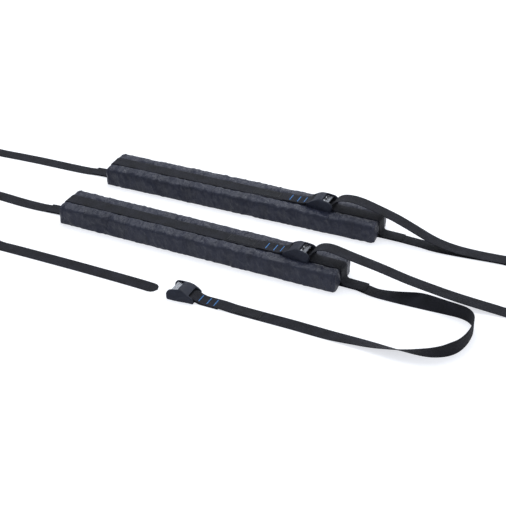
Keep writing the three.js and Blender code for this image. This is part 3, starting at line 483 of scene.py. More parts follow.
def nylon_material():
    """Coated nylon of the covers: fine weave, small creases, and a painted highlight that lightens the fold
    and crease crests.
    """
    s = Shader("nylon", NYLON_DARK, 0.42, Sheen_Weight=0.05, Sheen_Roughness=0.35, Specular_IOR_Level=0.4)
    vector, along, across = s.uv()
    one = s.math("SINE", s.math("MULTIPLY", along, 2 * math.pi / NYLON_THREAD))
    two = s.math("SINE", s.math("MULTIPLY", across, 2 * math.pi / NYLON_THREAD))
    weave = s.math("MULTIPLY", one, two)
    place = s.place()
    slanted = s.add("Mapping", {"Vector": place, "Rotation": (0.5, 0.6, 0.3), "Scale": (1, 0.55, 0.55)})
    fold = ridges(s, s.noise(slanted, 24, 2, 0.4))
    crease = ridges(s, s.noise(slanted, 62, 3, 0.55))
    folds = s.bump(fold, 0.006, 0.65)
    creases = s.bump(crease, 0.0019, 0.6, folds)
    s.bump(weave, 0.00006, 0.6, creases)
    # Painted highlight: the colour is lighter on the fold and crease crests, where light would catch them;
    # the weave adds a little real pattern.
    tone = s.math("ADD", s.between(fold, 0.06, 0.36), s.math("MULTIPLY", crease, 0.14))
    painted_highlight_and_weave = s.math("ADD", tone, s.math("MULTIPLY", weave, 0.06))
    s.color(s.blend(painted_highlight_and_weave, NYLON_DARK, NYLON_LIGHT))
    s.roughness(s.between(s.noise(place, 130, 3), 0.4, 0.56, 0.35, 0.65))
    return s.material


RUBBER_DARK = (0.011, 0.0135, 0.024)
RUBBER_LIGHT = (0.023, 0.027, 0.043)


def rubber_material():
    """Moulded rubber: slate, matte, with a fine pebble and dusty scuffs."""
    s = Shader("rubber", RUBBER_DARK, 0.6, Specular_IOR_Level=0.25)
    place = s.place()
    pebble = s.noise(place, 2600, 2)
    s.bump(pebble, 0.00009, 0.6)
    wear = s.noise(place, 120, 4, 0.6)
    s.color(s.blend(s.between(wear, 0, 1, 0.35, 0.7), RUBBER_DARK, RUBBER_LIGHT))
    s.roughness(s.between(wear, 0.48, 0.66, 0.3, 0.7))
    return s.material


METAL_DARK = (0.22, 0.23, 0.25)
METAL_LIGHT = (0.42, 0.43, 0.45)


def metal_material():
    """Plated steel with a satin drawn grain and small handling marks."""
    s = Shader("plated_steel", METAL_LIGHT, 0.3, Metallic=1.0)
    place = s.place()
    stretched = s.add("Mapping", {"Vector": place, "Scale": (300, 4200, 4200)})
    grain = s.noise(stretched, 1, 2)
    s.bump(grain, 0.00003, 0.35)
    marks = s.noise(place, 420, 3)
    s.color(s.blend(marks, METAL_DARK, METAL_LIGHT))
    s.roughness(s.between(marks, 0.24, 0.42, 0.3, 0.7))
    return s.material


THREAD_TWIST = 0.0006
SATIN_THREAD = 0.0005
LABEL_DARK = (0.006, 0.0065, 0.009)
LABEL_LIGHT = (0.0125, 0.0135, 0.018)
FOAM_DARK = (0.025, 0.026, 0.03)
FOAM_LIGHT = (0.05, 0.052, 0.058)


def thread_material(name, dark, light):
    """Sewing thread with its twist."""
    s = Shader(name, light, 0.5, Sheen_Weight=0.3, Sheen_Roughness=0.4)
    vector, along, across = s.uv()
    twist = s.math("SINE", s.math("MULTIPLY", s.math("ADD", along, across), 2 * math.pi / THREAD_TWIST))
    s.bump(twist, 0.00008, 0.6)
    s.color(s.blend(s.between(twist, 0, 1, -1, 1), dark, light))
    return s.material


def label_material():
    """Bare satin label: a smooth warp-faced weave."""
    s = Shader("label", LABEL_LIGHT, 0.6, Specular_IOR_Level=0.15)
    vector, along, across = s.uv()
    satin = s.math("SINE", s.math("MULTIPLY", across, 2 * math.pi / SATIN_THREAD))
    s.bump(satin, 0.00004, 0.5)
    haze = s.noise(vector, 70, 3)
    s.color(s.blend(s.between(haze, 0, 1, 0.3, 0.7), LABEL_DARK, LABEL_LIGHT))
    return s.material


def foam_material():
    """Closed-cell foam."""
    s = Shader("foam", FOAM_LIGHT, 0.9)
    cells = s.add("TexVoronoi", {"Vector": s.place(), "Scale": 900})
    s.bump(cells, 0.0002, 0.6)
    s.color(s.blend(cells, FOAM_DARK, FOAM_LIGHT))
    return s.material


WEBBING = webbing_material()
TIE_WEBBING = webbing_material("tie_webbing", (0.006, 0.0062, 0.0075), (0.016, 0.0165, 0.02))
NYLON = nylon_material()
RUBBER = rubber_material()
METAL = metal_material()
LABEL = label_material()
FOAM = foam_material()
BLUE_THREAD = thread_material("blue_thread", (0.01, 0.1, 0.32), (0.035, 0.27, 0.68))
DARK_THREAD = thread_material("dark_thread", (0.006, 0.0065, 0.008), (0.02, 0.021, 0.026))


# Camera, floor and light.


def look_at(thing, target):
    direction = Vector(target) - thing.location
    thing.rotation_euler = direction.to_track_quat("-Z", "Y").to_euler()


def add_camera():
    data = bpy.data.cameras.new("photo_camera")
    data.sensor_width = SENSOR_MM
    data.lens = FOCAL_PIXELS * SENSOR_MM / IMAGE_LONG_SIDE
    data.clip_end = 50
    camera = bpy.data.objects.new("photo_camera", data)
    bpy.context.scene.collection.objects.link(camera)
    camera.location = CAMERA_AT
    look_at(camera, CAMERA_LOOKS_AT)
    bpy.context.scene.camera = camera


FLOOR_HALF = 8
FLOOR_COLOR = (0.5, 0.5, 0.505)
FLOOR_GLOW = (0.94, 0.955, 1)
FLOOR_LIFT = 0.68
WORLD_COLOR = (0.9, 0.935, 1)
WORLD_LEVEL = 0.55
LAMP_COLOR = (0.93, 0.955, 1)


def add_floor():
    """A white floor that keeps the shadows and is white where none falls."""
    mesh = bmesh.new()
    corners = ((-1, -1), (1, -1), (1, 1), (-1, 1))
    mesh.faces.new([mesh.verts.new((x * FLOOR_HALF, y * FLOOR_HALF, 0)) for x, y in corners])
    s = Shader("floor", FLOOR_COLOR, 0.9, Specular_IOR_Level=0.1)
    path = s.tree.nodes.new("ShaderNodeLightPath")
    seen = s.math("MAXIMUM", path.outputs["Is Camera Ray"], path.outputs["Is Glossy Ray"])
    strength = s.math("MULTIPLY", seen, FLOOR_LIFT)
    glow = s.add("Emission", {"Color": (*FLOOR_GLOW, 1), "Strength": strength})
    total = s.add("AddShader", {0: s.bsdf.outputs[0], 1: glow})
    s.tree.links.new(total, s.tree.nodes["Material Output"].inputs["Surface"])
    finished("floor", mesh, s.material)


def add_world():
    """A soft sky that the camera sees as white."""
    world = bpy.data.worlds.new("studio")
    bpy.context.scene.world = world
    world.use_nodes = True
    tree = world.node_tree
    back = tree.nodes["Background"]
    path = tree.nodes.new("ShaderNodeLightPath")
    level = tree.nodes.new("ShaderNodeMix")
    level.data_type = "FLOAT"
    level.inputs["A"].default_value = WORLD_LEVEL
    level.inputs["B"].default_value = 1
    tree.links.new(path.outputs["Is Camera Ray"], level.inputs["Factor"])
    tree.links.new(level.outputs["Result"], back.inputs["Strength"])
    back.inputs["Color"].default_value = (*WORLD_COLOR, 1)


def add_lamp(name, at, target, size, watts):
    data = bpy.data.lights.new(name, "AREA")
    data.shape = "RECTANGLE"
    data.size, data.size_y = size
    data.energy = watts
    data.color = LAMP_COLOR
    lamp = bpy.data.objects.new(name, data)
    bpy.context.scene.collection.objects.link(lamp)
    lamp.location = at
    look_at(lamp, target)


def add_lights():
    add_lamp("overhead_box", (-0.4, 0.9, 2.3), (0.05, 0.05, 0), (2.4, 1.6), 42)
    add_lamp("rear_box", (0.3, 2.4, 1.1), (0.05, 0.1, 0), (2.6, 0.9), 16)
    add_lamp("front_fill", (0.6, -2.4, 1.6), (0.05, 0, 0), (2.2, 1.4), 9)


# Free straps.


def cord(name, route, nodes, tip=True):
    """A free strap as one ribbon that ends in its rounded tip or its buckle."""
    stations = route_stations(route)
    piece = ribbon(name + "_web", stations, WEBBING, tip=tip)
    placed(piece, "root", "webbing", *nodes)


def coil_turns(name):
    """The turns of a plain coil, as route points."""
    spec = COILS[name]
    radius_to, angle_from, angle_to = spec["turns"]
    return spiral(*spec["at"], spec["outer"], radius_to, angle_from, angle_to)


def half_circle(x, y, radius, angle_from, angle_to):
    return spiral(x, y, radius, radius, angle_from, angle_to)[1:-1]


def front_left_route():
    """In to the middle of a double spiral, through it, out again and back to the rounded tip."""
    spec = COILS["front_car_strap_left"]
    x, y = spec["at"]
    outer = spec["outer"]
    return (
        ROUTES["front_car_strap_left"]
        + spiral(x, y, outer, COIL_LOOP, 90, 900)
        + half_circle(x - COIL_LOOP_HALF, y, COIL_LOOP_HALF, 180, 360)
        + half_circle(x + COIL_LOOP_HALF, y, COIL_LOOP_HALF, 180, 0)
        + spiral(x, y, COIL_LOOP, outer - COIL_LAST_STEP, 360, -360)
        + ROUTES["front_car_strap_end"]
    )


def band_route(spec):
    """The closed side view of a tie round a coil's turns, as (distance from the middle, z)."""
    x0 = spec["inner"] - WEB_THICK - TIE_SLACK - TIE_THICK / 2
    x1 = spec["outer"] + WEB_THICK / 2 + GAP + TIE_THICK / 2
    z0 = TIE_THICK / 2
    z1 = COIL_LIFT + WEB_WIDTH + GAP + TIE_THICK / 2
    r = TIE_BEND
    corners = ((x1 - r, z1 - r, 0), (x0 + r, z1 - r, 90), (x0 + r, z0 + r, 180), (x1 - r, z0 + r, 270))
    out = []
    for cx, cz, start in corners:
        for step in QUARTER_TURN:
            angle = math.radians(start + step)
            out.append((cx + r * math.cos(angle), cz + r * math.sin(angle)))
    return out


def add_tie(name):
    """A hook-and-loop tie: a closed band round a coil's turns."""
    spec = COILS[name]
    turn = Matrix.Translation((*spec["at"], 0)) @ rotation(spec["tie"])
    side = turn.to_3x3() @ Vector((0, 1, 0))
    points = [turn @ Vector((x, 0, z)) for x, z in band_route(spec)]
    count = len(points)
    stations = []
    for i, point in enumerate(points):
        along = (points[(i + 1) % count] - points[i - 1]).normalized()
        stations.append((point, side, along))
    band = ribbon(name + "_band", stations, TIE_WEBBING, TIE_WIDTH, TIE_THICK, closed=True)
    return placed(band, "root", "webbing", name + "_tie")


def add_free_straps():
    """The six free straps, each with the tie of its coil or its buckle, or both."""
    ties = {name: add_tie(name) for name in COILS}
    name = "front_car_strap_right"
    cord(name, ROUTES[name], [name], tip=False)
    name = "front_car_strap_left"
    nodes = [name, name + "_coil", "front_car_strap_end"]
    cord(name, front_left_route(), nodes)
    for name, length in COILED_LENGTHS:
        cord(name, ROUTES[name] + coil_turns(name), [name, name + "_coil"])
    name, core = "rear_car_strap_right", "rear_car_strap_core"
    route = ROUTES[name] + coil_turns(name) + ROUTES[core]
    cord(name, route, [name, name + "_coil", core], tip=False)


# Sewn straps.


def arc(x, z, radius, angle_from, angle_to, steps):
    out = []
    for i in range(steps + 1):
        angle = math.radians(angle_from + (angle_to - angle_from) * i / steps)
        out.append((x + radius * math.cos(angle), z + radius * math.sin(angle)))
    return out


def end_run():
    """The way of a top strap at the right end of the pad, as in the part's source."""
    face = PAD_LENGTH / 2 + GAP + FLAT_Z
    top = PAD_HEIGHT + GAP + FLAT_Z
    patch_top = COVER_WALL + 2 * GAP + WEB_THICK + GAP + FLAT_Z
    bend = END_BEND + FLAT_Z
    out = face + END_BULGE
    return arc(out - bend, top - bend, bend, 90, 0, 4) + [
        (out + 0.0004, PAD_HEIGHT / 2), (out + 0.0009, 0.0105), (out + 0.002, 0.0068),
        (out + 0.0048, 0.0044), (face + 0.01, patch_top + 0.0001), (face + 0.02, patch_top - 0.0002),
        (face + 0.032, (patch_top + PATCH_RISE) / 2), (face + PATCH_LENGTH, PATCH_RISE),
    ]


def fold_run(length, x, z):
    """The ply that turns back under the strap after the buckle's bar."""
    flat = FLAT_Z - BUCKLE_LIFT
    near = [(-0.0185, -0.0004), (-0.0232, -0.00075)]
    far = [(-0.028, -0.0021), (-0.033, flat + 0.0001), (-0.04, flat), (BAR_X - length, flat)]
    run = near + far if length > NECK_LENGTH else near
    return [(x + dx, z + dz) for dx, dz in run]


def beside(buckle_x, points):
    return [(buckle_x + dx, z) for dx, z in points]


def top_left_run(buckle_x):
    """A top strap from the pad's left end to the buckle's bar and back under itself."""
    top = PAD_HEIGHT + GAP + FLAT_Z
    base = PAD_HEIGHT + GAP + BUCKLE_LIFT
    start = [(-x, z) for x, z in reversed(end_run())]
    middle = [(share * PAD_LENGTH / 2, top) for share in (-0.8, -0.6, -0.4, -0.2, 0, 0.2)]
    upper = top + PLY_STEP
    near = [
        (-0.084, top), (-0.076, top), (-0.071, top + 0.0005), (-0.0655, upper), (-0.058, upper),
        (-0.046, upper), (-0.034, upper + 0.0002), (-0.026, base + 0.0009), (-0.02, base + 0.0038),
    ]
    loop = arc(buckle_x + BAR_X, base + BAR_Z, LOOP_BEND, 90, -90, 8)
    return start + middle + beside(buckle_x, near) + loop + fold_run(FOLD_LENGTH, buckle_x, base)


def top_right_run(buckle_x):
    """A top strap from inside the buckle, round its base and on to the pad's right end."""
    top = PAD_HEIGHT + GAP + FLAT_Z
    base = PAD_HEIGHT + GAP + BUCKLE_LIFT
    over, under = base + RUN_OVER, base + RUN_UNDER
    turn_x = buckle_x + BASE_START + BASE_THICK / 2
    turn = arc(turn_x, base + BASE_THICK / 2, RUN_BEND, 90, 270, 8)
    away = [(0.005, under), (FLOOR_END, under), (0.025, under - 0.001), (0.034, top + 0.0001), (0.044, top)]
    return beside(buckle_x, [(FRAME_END, over), (0.004, over)]) + turn + beside(buckle_x, away) + end_run()


def add_top_straps(rack, matrix):
    for side, run in (("left", top_left_run), ("right", top_right_run)):
        node = f"{rack['name']}_top_strap_{side}"
        stations = profile_stations(run(rack["buckle_x"]), matrix)
        placed(ribbon(node + "_web", stations, WEBBING), "root", "webbing", node)


def buckle_matrix(spec):
    """The free buckle's place as a matrix."""
    along_x, along_y = Vector(spec["along_x"]), Vector(spec["along_y"])
    turn = Matrix((along_x, along_y, along_x.cross(along_y))).transposed()
    return Matrix.Translation(spec["at"]) @ turn.to_4x4()


def add_fold(spec):
    """A free buckle's turned-back ply, round its bar."""
    matrix = buckle_matrix(spec) @ Matrix.Translation((0, 0, BUCKLE_LIFT))
    points = arc(BAR_X, BAR_Z, LOOP_BEND, 90, -90, 8) + fold_run(spec["fold"], 0, 0)
    node = spec["name"] + "_car_strap_fold"
    placed(ribbon(node + "_web", profile_stations(points, matrix, 0.001), WEBBING), "root", "webbing", node)


# Stitching and labels.


TACK_LENGTH = 0.0175
TACK_WIDTH = 0.0016
TACK_RISE = 0.00045
TACK_STITCH = 0.0011
TACK_SWING = 0.12
TACK_SUNK = 0.0001
TACK_SHARES = (-1, -0.75, -0.3, 0.3, 0.75, 1)
FACE_SHARE = 0.48
LABEL_COLUMNS = 26
LABEL_ROWS = 10
LABEL_RISE = 0.0005
LABEL_SUNK_EDGE = 0.0008
LABEL_WAVE = 0.0001
LABEL_WAVE_EDGE = 0.003
LABEL_WAVE_RATE = 260
LABEL_FLOAT = 0.00005
STITCH_INSET = 0.0014
STITCH_LIFT = 0.00055
STITCH_LENGTH = 0.0024
STITCH_HALF = 0.0003
STITCH_RISE = 0.00028
STITCH_SUNK = 0.0002
STITCH_CROWN = 0.6
# A stitch's rings: share of its length, share of its rise, and share of its width.
STITCH_SHAPE = ((0.12, 0, 0.4), (0.3, 1, 1), (0.7, 1, 1), (0.88, 0, 0.4))
FREE_LABEL_SHIFT = 0.008


def tack(name, matrix):
    """A bar tack: a dense zigzag of blue thread across a strap, bedded in the weave."""
    mesh, uv = empty_mesh()
    count = round(TACK_LENGTH / TACK_STITCH * 4)
    rows = []
    for i in range(count + 1):
        y = TACK_LENGTH * (i / count - 0.5)
        swing = TACK_WIDTH * TACK_SWING * math.sin(2 * math.pi * i / 4)
        row = []
        for k, share in enumerate(TACK_SHARES):
            rise = TACK_RISE * (1 - share ** 2) * (0.8 + 0.2 * math.cos(math.pi * i / 2 + k))
            x = share * TACK_WIDTH / 2 + swing
            row.append(mesh.verts.new(matrix @ Vector((x, y, rise - TACK_SUNK))))
        rows.append(row)
    for one, two in zip(rows, rows[1:]):
        for k in range(len(TACK_SHARES) - 1):
            add_face(mesh, uv, (one[k], one[k + 1], two[k + 1], two[k]))
    placed(finished(name, mesh, BLUE_THREAD), "root", "webbing")


def station_at(stations, matrix, x):
    """The upper surface of a sewn strap at one local x, as a matrix with X along it."""
    inverse = matrix.inverted()
    best = min(
        (s for s in stations if (inverse.to_3x3() @ s[2]).x > 0.5),
        key=lambda s: abs((inverse @ s[0]).x - x),
    )
    centre, across, along = best
    face = along.cross(across)
    if face.dot(matrix.to_3x3() @ Vector((0, 0, 1))) < 0:
        face = -face
    turn = Matrix((along, face.cross(along), face)).transposed().to_4x4()
    return Matrix.Translation(centre + face * WEB_THICK * FACE_SHARE) @ turn


def add_label(name, matrix, node):
    """A bare woven label, sunk at its edges, with a row of stitches round it."""
    mesh, uv = empty_mesh()
    rows = []
    for i in range(LABEL_COLUMNS + 1):
        x = LABEL_LENGTH * (i / LABEL_COLUMNS - 0.5)
        wave = LABEL_WAVE * math.cos(x * LABEL_WAVE_RATE)
        row = []
        for j in range(LABEL_ROWS + 1):
            y = LABEL_WIDTH * (j / LABEL_ROWS - 0.5)
            edge = min(LABEL_LENGTH / 2 - abs(x), LABEL_WIDTH / 2 - abs(y))
            rise = LABEL_RISE * min(edge / LABEL_SUNK_EDGE, 1) + wave * min(edge / LABEL_WAVE_EDGE, 1)
            row.append(mesh.verts.new(matrix @ Vector((x, y, rise + LABEL_FLOAT))))
        rows.append(row)
    for one, two in zip(rows, rows[1:]):
        for j in range(LABEL_ROWS):
            add_face(mesh, uv, (one[j], two[j], two[j + 1], one[j + 1]))
    placed(finished(name, mesh, LABEL), "root", "label", node)
    x = LABEL_LENGTH / 2 - STITCH_INSET
    y = LABEL_WIDTH / 2 - STITCH_INSET
    add_stitches(name + "_stitches", matrix, [(-x, -y), (x, -y), (x, y), (-x, y), (-x, -y)])


def add_stitches(name, matrix, line):
    """Lockstitches along a line of (x, y) points on a surface that a matrix gives."""
    mesh, uv = empty_mesh()
    for start, stop in zip(line, line[1:]):
        start, stop = Vector((*start, 0)), Vector((*stop, 0))
        count = max(1, round((stop - start).length / STITCH_LENGTH))
        way = (stop - start) / count
        side = way.normalized().cross(Vector((0, 0, 1)))
        for i in range(count):
            rings = []
            for share, up, wide in STITCH_SHAPE:
                point = start + way * (i + share)
                half = side * STITCH_HALF * wide
                top = point + Vector((0, 0, STITCH_LIFT + up * STITCH_RISE))
                low = point + Vector((0, 0, STITCH_LIFT - STITCH_SUNK))
                crown = half * STITCH_CROWN
                places = (low + half, top + crown, top - crown, low - half)
                rings.append([mesh.verts.new(matrix @ place) for place in places])
            for one, two in zip(rings, rings[1:]):
                for k in range(3):
                    add_face(mesh, uv, (one[k], two[k], two[k + 1], one[k + 1]))
    placed(finished(name, mesh, DARK_THREAD), "root", "webbing")


def add_sewing(rack, matrix):
    """Tacks by the top buckle, and the label."""
    name, buckle_x = rack["name"], rack["buckle_x"]
    stations = profile_stations(top_left_run(buckle_x), matrix)
    for i, offset in enumerate(TACKS_FROM_BUCKLE):
        tack(f"{name}_top_tack_{i + 1}", station_at(stations, matrix, buckle_x - offset))
    top = PAD_HEIGHT + GAP + WEB_THICK
    place = matrix @ Matrix.Translation((buckle_x - LABEL_FROM_BUCKLE, 0, top))
    add_label(name + "_top_label_cloth", place, name + "_top_label")


def add_free_sewing(buckle_x, buckle_y):
    """Tacks and the label on the front car strap, beside its free buckle."""
    stations = route_stations(ROUTES["front_car_strap_right"], 0.002)
    for i, offset in enumerate(TACKS_FROM_BUCKLE):
        x = buckle_x + offset
        centre, across, along = min(stations, key=lambda s: abs(s[0].x - x) + abs(s[0].y - buckle_y))
        face = along.cross(across)
        turn = Matrix((along, across, face)).transposed().to_4x4()
        tack(f"front_car_tack_{i + 1}", Matrix.Translation(centre + face * WEB_THICK * FACE_SHARE) @ turn)
    label_x = buckle_x + LABEL_FROM_BUCKLE + FREE_LABEL_SHIFT
    place = Matrix.Translation((label_x, buckle_y, WEB_THICK + GAP))
    add_label("front_car_label_cloth", place, "front_car_label")


# Covers.


COVER_STEP = 0.004
COVER_ROUND = 0.0045
COVER_LOW_ROUND = 0.0025
COVER_END_ROUND = 0.003
COVER_CROWN = 0.0012
CORE_INSET = 0.0012
STRAP_BED = 0.0137
CLOTH_FRAMES = 24
CLOTH_SHRINK = -0.08
CLOTH_PRESSURE = 0.6
CLOTH_REACH = 0.0042
CORE_STEP = 0.006
COVER_PHASE = 3.7
CROWN_START = 0.9
CROWN_SHARES = (0.8, 0.55, 0.3, 0.1)
LOOSE_UPWARD = 1.6
LOOSE_GATHER = 0.0007
GATHER_SCALE = (85, 12, 18)
LOOSE_CRUMPLE = 0.002
CRUMPLE_SCALE = (30, 32, 30)
CRUMPLE_SLANT = 34
HELD_DEPTH = 0.002
HELD_END = 0.001
HELD_FLOOR = 0.0011
UNDER_BUCKLE = 0.0013
BUMPER_HALF_LENGTH = 0.03
BUMPER_HALF_WIDTH = 0.023
SEAM_ROW = 8
SEAM_FROM = 0.002
SEAM_TOP = 0.028
SEAM_STRAP_DEPTH = 0.004
SEAM_HALF = 0.0009
SEAM_SIDES = 6
SEAM_FLAT = 0.8
CORE_THICK_IN = 0.008
CLOTH_CLEAR = 0.0003


def subdivide(piece):
    finer = piece.modifiers.new("finer", "SUBSURF")
    finer.levels = finer.render_levels = 1


def spread_points(start, stop, step):
    """Points about a step apart from start up to stop, which is left out."""
    count = max(1, round((stop - start).length / step))
    return [start.lerp(stop, i / count) for i in range(count)]


def section_ring(inset, step):
    """Points (y, z) once round the bar's section, sharper below than above."""
    half, high = PAD_WIDTH / 2 - inset, PAD_HEIGHT - inset
    low, top = COVER_LOW_ROUND, COVER_ROUND
    corners = (
        (1, low, inset + low, -90), (1, top, high - top, 0),
        (-1, top, high - top, 90), (-1, low, inset + low, 180),
    )
    out = []
    before = Vector((low - half, inset))
    for side, radius, z, start in corners:
        centre = Vector((side * (half - radius), z))
        turn = [math.radians(start + angle) for angle in QUARTER_TURN]
        bend = [centre + radius * Vector((math.cos(t), math.sin(t))) for t in turn]
        out += spread_points(before, bend[0], step) + bend[:-1]
        before = bend[-1]
    return out


def bar_rows(inset, step):
    """The bar as rings of points along X, each ring smaller towards the crowned ends."""
    ring = section_ring(inset, step)
    half = PAD_LENGTH / 2 - inset
    middle = Vector((0, PAD_HEIGHT / 2))
    count = round(2 * (half - COVER_END_ROUND) / step)
    bends = [math.radians(angle) for angle in QUARTER_TURN[1:]]
    ends = [
        (COVER_END_ROUND * math.sin(t), 1 - COVER_END_ROUND * (1 - math.cos(t)) / (PAD_WIDTH / 2))
        for t in bends
    ]
    crown = COVER_CROWN if inset == 0 else 0
    ends += [
        (COVER_END_ROUND + crown * (1 - share * share), CROWN_START * share) for share in CROWN_SHARES
    ]
    half -= COVER_END_ROUND
    places = [(-half - out, share) for out, share in reversed(ends)]
    places += [(half * (2 * i / count - 1), 1) for i in range(count + 1)]
    places += [(half + out, share) for out, share in ends]
    return [[(x, *(middle + (p - middle) * share)) for p in ring] for x, share in places]


def bar_mesh(rows):
    """A closed mesh over rings of points, with the unrolled cloth as its map."""
    mesh, uv = empty_mesh()
    sides = len(rows[0])
    made = [[mesh.verts.new(point) for point in row] for row in rows]
    for i in range(len(rows) - 1):
        for k in range(sides):
            n = (k + 1) % sides
            places = ((i, k), (i, k + 1), (i + 1, k + 1), (i + 1, k))
            spots = [(row * COVER_STEP, side * COVER_STEP) for row, side in places]
            add_face(mesh, uv, (made[i][k], made[i][n], made[i + 1][n], made[i + 1][k]), spots)
    for row in (made[0], made[-1]):
        mesh.faces.new(row).smooth = True
    bmesh.ops.recalc_face_normals(mesh, faces=mesh.faces[:])
    return mesh


def loosen(rows, phase):
    """A faint start for the folds: gathers across the bar's length and crumples on the sides."""
    gx, gy, gz = GATHER_SCALE
    cx, cy, cz = CRUMPLE_SCALE
    out = []
    for row in rows:
        moved = []
        for x, y, z in row:
            away = Vector((0, y, LOOSE_UPWARD * (z - PAD_HEIGHT / 2)))
            away = away.normalized() if away.length > 0.001 else Vector((0, 0, 0))
            gather = noise.noise(Vector((x * gx + phase, y * gy, z * gz)))
            crumple = noise.noise(Vector((x * cx + z * CRUMPLE_SLANT + phase, y * cy, z * cz)))
            point = Vector((x, y, z)) + away * (LOOSE_GATHER * gather + LOOSE_CRUMPLE * crumple)
            moved.append((point.x, point.y, max(point.z, 0)))
        out.append(moved)
    return out


def held_down(x, y, z):
    """Cloth that the strap or the floor holds still."""
    outside = z > PAD_HEIGHT - HELD_DEPTH or abs(x) > PAD_LENGTH / 2 - HELD_END
    return z < HELD_FLOOR or (abs(y) < STRAP_BED and outside)


def simulate_cover(cover, rows):
    """Let a cover that is cut a little too large settle over its foam, and keep the result."""
    pinned = cover.vertex_groups.new(name="held")
    pinned.add([v.index for v in cover.data.vertices if held_down(*v.co)], 1, "REPLACE")
    core = finished("cloth_core", bar_mesh(rows), FOAM)
    core.modifiers.new("hit", "COLLISION")
    core.collision.thickness_outer = CLOTH_CLEAR
    core.collision.thickness_inner = CORE_THICK_IN
    core.collision.cloth_friction = 2
    cloth = cover.modifiers.new("settle", "CLOTH")
    values = cloth.settings
    values.quality = 6
    values.mass = 0.15
    values.tension_stiffness = values.compression_stiffness = 30
    values.shear_stiffness = 10
    values.bending_stiffness = 0.012
    values.tension_damping = values.compression_damping = values.shear_damping = 5
    values.bending_damping = 0.5
    values.air_damping = 2
    values.shrink_min = CLOTH_SHRINK
    values.use_pressure = True
    values.uniform_pressure_force = CLOTH_PRESSURE
    values.effector_weights.gravity = 0
    values.vertex_group_mass = pinned.name
    cloth.collision_settings.use_self_collision = False
    cloth.collision_settings.distance_min = 0.0005
    cloth.point_cache.frame_end = CLOTH_FRAMES
    scene = bpy.context.scene
    for frame_number in range(1, CLOTH_FRAMES + 1):
        scene.frame_set(frame_number)
    settled = cover.evaluated_get(bpy.context.evaluated_depsgraph_get()).to_mesh()
    places = [v.co.copy() for v in settled.vertices]
    cover.modifiers.remove(cloth)
    bpy.data.objects.remove(core)
    scene.frame_set(1)
    return places


def keep_in_place(place, start, buckle_x):
    """Cap how far a point has moved, and keep it over the floor and under the bumper."""
    move = place - start
    if move.length > CLOTH_REACH:
        move *= CLOTH_REACH / move.length
    point = start + move
    point.z = max(point.z, 0)
    if abs(point.x - buckle_x) < BUMPER_HALF_LENGTH and abs(point.y) < BUMPER_HALF_WIDTH:
        point.z = min(point.z, PAD_HEIGHT + UNDER_BUCKLE)
    return point


def seam_order(point):
    """Sorts a seam's points: those on top first, from the edge to the middle, then the side's."""
    return point.z - 2 * abs(point.y) * (point.z > SEAM_TOP)


def beside_strap(point):
    """Whether a point of the cover is clear of the floor and of the strap."""
    under_strap = abs(point.y) < STRAP_BED and point.z > PAD_HEIGHT - SEAM_STRAP_DEPTH
    return point.z > SEAM_FROM and not under_strap


def add_end_seams(rack, matrix, places):
    """A stitched ridge near each end of the cover, on both sides of the strap."""
    sides = len(section_ring(0, COVER_STEP))
    rows = len(places) // sides
    for end, row in (("left", SEAM_ROW), ("right", rows - 1 - SEAM_ROW)):
        seen = [p for p in places[row * sides:(row + 1) * sides] if beside_strap(p)]
        for side, word in ((-1, "near"), (1, "far")):
            line = sorted((p for p in seen if p.y * side > 0), key=seam_order)
            add_ridge(f"{rack['name']}_end_seam_{end}_{word}", matrix, line)


def add_ridge(name, matrix, line):
    """A thin folded ridge of nylon along points on the cover."""
    mesh, uv = empty_mesh()
    middle = Vector((line[0].x, 0, PAD_HEIGHT / 2))
    rings = []
    for i, point in enumerate(line):
        along = (line[min(i + 1, len(line) - 1)] - line[max(i - 1, 0)]).normalized()
        out = point - middle
        out = (out - along * out.dot(along)).normalized()
        side = along.cross(out) * SEAM_FLAT
        ring = []
        for k in range(SEAM_SIDES):
            turn = 2 * math.pi * k / SEAM_SIDES
            place = point + SEAM_HALF * (out * math.cos(turn) + side * math.sin(turn))
            ring.append(mesh.verts.new(matrix @ place))
        rings.append(ring)
    for one, two in zip(rings, rings[1:]):
        for k in range(SEAM_SIDES):
            n = (k + 1) % SEAM_SIDES
            corners = (one[k], one[n], two[n], two[k])
            add_face(mesh, uv, corners, [corner.co.xz for corner in corners])
    for ring in (rings[0], rings[-1]):
        mesh.faces.new(ring)
    bmesh.ops.recalc_face_normals(mesh, faces=mesh.faces[:])
    subdivide(placed(finished(name, mesh, NYLON), "root", "nylon"))


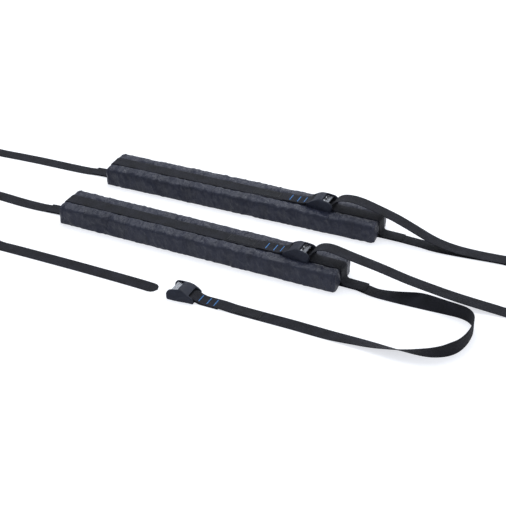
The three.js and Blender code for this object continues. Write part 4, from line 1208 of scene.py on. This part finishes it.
def add_cover(rack, matrix, phase):
    """A pad's cover: loose cloth that has settled over the foam, with its end seams."""
    mesh = bar_mesh(loosen(bar_rows(0, COVER_STEP), phase))
    piece = finished(rack["name"] + "_cover_cloth", mesh, NYLON)
    places = simulate_cover(piece, bar_rows(CORE_INSET, CORE_STEP))
    for vertex, place in zip(piece.data.vertices, places):
        vertex.co = keep_in_place(place, vertex.co, rack["buckle_x"])
    add_end_seams(rack, matrix, [v.co.copy() for v in piece.data.vertices])
    piece.data.transform(matrix)
    subdivide(piece)
    placed(piece, "root", "nylon", rack["name"] + "_pad_cover")


# Carried-over CAD nodes.


MOULD_STEP = 0.0006
MOULD_PASSES = 9
EDGE_ROUND = 0.00025
EDGE_FROM_ANGLE = 28


def round_edges(node):
    """Rounds a metal piece's sharp edges."""
    bevel = node.modifiers.new("edge", "BEVEL")
    bevel.width = EDGE_ROUND
    bevel.segments = 2
    bevel.limit_method = "ANGLE"
    bevel.angle_limit = math.radians(EDGE_FROM_ANGLE)
    bevel.use_clamp_overlap = True


def mould(node):
    """Rounds a rubber piece all over, as if it came out of a mould."""
    even = node.modifiers.new("even", "REMESH")
    even.mode = "VOXEL"
    even.voxel_size = MOULD_STEP
    even.use_smooth_shade = True
    soft = node.modifiers.new("soft", "SMOOTH")
    soft.factor = 0.5
    soft.iterations = MOULD_PASSES


def set_material(node, material):
    if node.material_slots:
        for slot in node.material_slots:
            slot.material = material
    else:
        node.data.materials.append(material)


def dress_nodes():
    """Gives each CAD node that stays in sight its material and its edges."""
    for name, node in NODES.items():
        if name.endswith(("_frame", "_cam")):
            set_material(node, METAL)
            round_edges(node)
        elif name.endswith(("_pin", "_spring")):
            set_material(node, METAL)
        elif name.endswith("_bumper"):
            set_material(node, RUBBER)
            mould(node)
        elif name.endswith("_foam_core"):
            set_material(node, FOAM)
        elif name.endswith("_inside"):
            set_material(node, WEBBING)


def main():
    scene = bpy.context.scene
    scene.view_settings.view_transform = "Standard"
    add_camera()
    add_free_straps()
    add_floor()
    add_world()
    add_lights()
    dress_nodes()
    for i, rack in enumerate(RACKS):
        matrix = Matrix.Translation((rack["x"], rack["y"], 0)) @ rotation(rack["turn"])
        add_cover(rack, matrix, COVER_PHASE * i)
        add_top_straps(rack, matrix)
        add_sewing(rack, matrix)
    for spec in FREE_BUCKLES:
        add_fold(spec)
    add_free_sewing(*FREE_BUCKLES[0]["at"][:2])


main()
